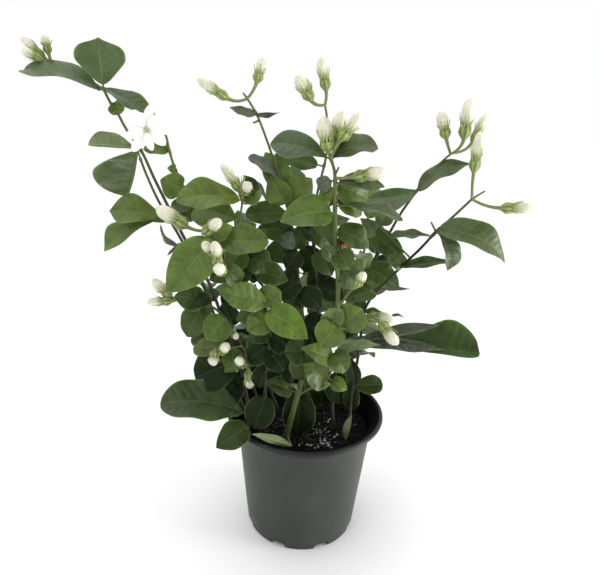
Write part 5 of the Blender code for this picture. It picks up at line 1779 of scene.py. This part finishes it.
class JASMINE_OT_flower(bpy.types.Operator):
    """Open the white flower in its two layers of petals"""

    bl_idname = "jasmine.flower"
    bl_label = "Open the Flower"

    def execute(self, context):
        blooms = context.scene.jasmine_blooms
        _, cup, throat = flower_places(cane_routes(CANES[FLOWER_CANE]))
        axis = (throat - cup).normalized()
        _, first, second = frames([cup, throat])[0]
        bm = start_mesh()
        long = (throat - cup).length
        profile = [(0, COROLLA_GAP), (1.1, COROLLA_GAP), (1.2, 0.5 * long), (1.35, 0.8 * long)]
        profile += [(2.3, long), (2.5, long + 0.5), (1.9, long + 0.6), (1.2, long - 0.6), (0, long - 1)]
        turned(bm, profile, 24, blooms.throat, cup, (first, second, axis))
        for i in range(PETAL_COUNT):
            out = outward(first, second, math.tau * i / PETAL_COUNT)
            grow_petal(bm, f"petal{i}", throat, out, axis, i % 2)
        for i in range(2):
            beside = outward(first, second, math.pi * i + 0.6) * 0.6
            points = [throat + beside + axis * height for height in STAMEN_HEIGHTS]
            tube(bm, points, lambda share: 0.35 + 0.15 * share, 8, blooms.throat)
        piece("white_flower", bm, [petal_material(blooms)], ["flower_open"], 50)
        return {"FINISHED"}


class JASMINE_OT_stage(bpy.types.Operator):
    """Set the pale floor, the soft lights and the camera"""

    bl_idname = "jasmine.stage"
    bl_label = "Set the Stage"

    def execute(self, context):
        settings = context.scene.jasmine_stage
        self.lay_floor(settings)
        self.make_sky(context, settings)
        self.hang("key", "AREA", settings.key, KEY_SPOT - LIGHT_AIM, KEY_SPOT, size=KEY_SIZE)
        self.hang("side", "AREA", settings.side, SIDE_SPOT - LIGHT_AIM, SIDE_SPOT, size=SIDE_SIZE)
        self.hang("sun", "SUN", settings.sun, SUN_WAY, angle=SUN_SPREAD)
        self.place_camera(context)
        context.scene.view_settings.view_transform = "Standard"
        return {"FINISHED"}

    def lay_floor(self, settings):
        """A wide pale floor that runs out into the even light."""
        bm = bmesh.new()
        bmesh.ops.create_grid(bm, x_segments=4, y_segments=4, size=FLOOR_REACH)
        floor = make_object("floor", bm)
        floor.data.shade_smooth()
        floor.data.materials.append(new_skin("pale floor").dress(settings.floor, 0.9))
        bpy.context.collection.objects.link(floor)
        floor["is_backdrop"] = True

    def make_sky(self, context, settings):
        """Even light with a dim patch where the room over the photographer would be."""
        world = bpy.data.worlds.new("studio")
        sky = Shading(world)
        ways = {0: sky.node("TexCoord", {}, "Generated"), 1: ROOM_WAY.normalized()}
        facing = sky.node("VectorMath", ways, "Value", operation="DOT_PRODUCT")
        strength = facing.ramp(*ROOM_EDGE, 1.0, settings.room) * settings.sky
        background = world.node_tree.nodes["Background"]
        put(background.inputs["Color"], (1, 1, 1, 1))
        put(background.inputs["Strength"], strength)
        context.scene.world = world

    def hang(self, name, kind, power, back, spot=(0, 0, 0), **options):
        """A light at a spot. It shines against the way that back gives."""
        light = bpy.data.lights.new(name, kind)
        light.energy = power
        for option, value in options.items():
            setattr(light, option, value)
        lamp = bpy.data.objects.new(name, light)
        lamp.location = spot
        lamp.rotation_euler = back.to_track_quat("Z", "Y").to_euler()
        bpy.context.collection.objects.link(lamp)

    def place_camera(self, context):
        lens = bpy.data.cameras.new("view")
        lens.sensor_width = SENSOR_WIDTH
        lens.lens = SENSOR_WIDTH * FOCAL_PX / FRAME_PX[0]
        camera = bpy.data.objects.new("view", lens)
        tilt = Matrix.Rotation(math.pi / 2 - EYE_PITCH, 4, "X")
        roll = Matrix.Rotation(EYE_ROLL, 4, "Z")
        camera.matrix_world = Matrix.Translation(EYE * MM) @ tilt @ roll
        context.collection.objects.link(camera)
        context.scene.camera = camera


# The sidebar


class JASMINE_PT_sidebar(bpy.types.Panel):
    bl_idname = "JASMINE_PT_sidebar"
    bl_label = "Potted Jasmine"
    bl_space_type = "VIEW_3D"
    bl_region_type = "UI"
    bl_category = "Jasmine"

    def draw(self, context):
        for name, (_, operators) in GROUPS.items():
            box = self.layout.box()
            settings = getattr(context.scene, name)
            for key in settings.bl_rna.properties.keys():
                if key not in {"rna_type", "name"}:
                    box.prop(settings, key)
            for operator in operators:
                box.operator(operator.bl_idname)


GROUPS = {
    "jasmine_pot": (PotSettings, (JASMINE_OT_pot,)),
    "jasmine_soil": (SoilSettings, (JASMINE_OT_soil,)),
    "jasmine_stems": (StemSettings, ()),
    "jasmine_leaves": (LeafSettings, (JASMINE_OT_canes,)),
    "jasmine_blooms": (BloomSettings, (JASMINE_OT_buds, JASMINE_OT_flower)),
    "jasmine_stage": (StageSettings, (JASMINE_OT_stage,)),
}


def register():
    for name, (settings, operators) in GROUPS.items():
        bpy.utils.register_class(settings)
        setattr(bpy.types.Scene, name, PointerProperty(type=settings))
        for operator in operators:
            bpy.utils.register_class(operator)
    bpy.utils.register_class(JASMINE_PT_sidebar)


def unregister():
    bpy.utils.unregister_class(JASMINE_PT_sidebar)
    for name, (settings, operators) in reversed(GROUPS.items()):
        for operator in operators:
            bpy.utils.unregister_class(operator)
        delattr(bpy.types.Scene, name)
        bpy.utils.unregister_class(settings)


def main():
    register()
    bpy.ops.jasmine.pot()
    bpy.ops.jasmine.soil()
    bpy.ops.jasmine.canes()
    bpy.ops.jasmine.buds()
    bpy.ops.jasmine.flower()
    bpy.ops.jasmine.stage()
    for name, bounds in (("cad", CAD_BOX), ("visual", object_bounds())):
        [[float(value) for value in corner] for corner in bounds]


if __name__ == "__main__":
    main()
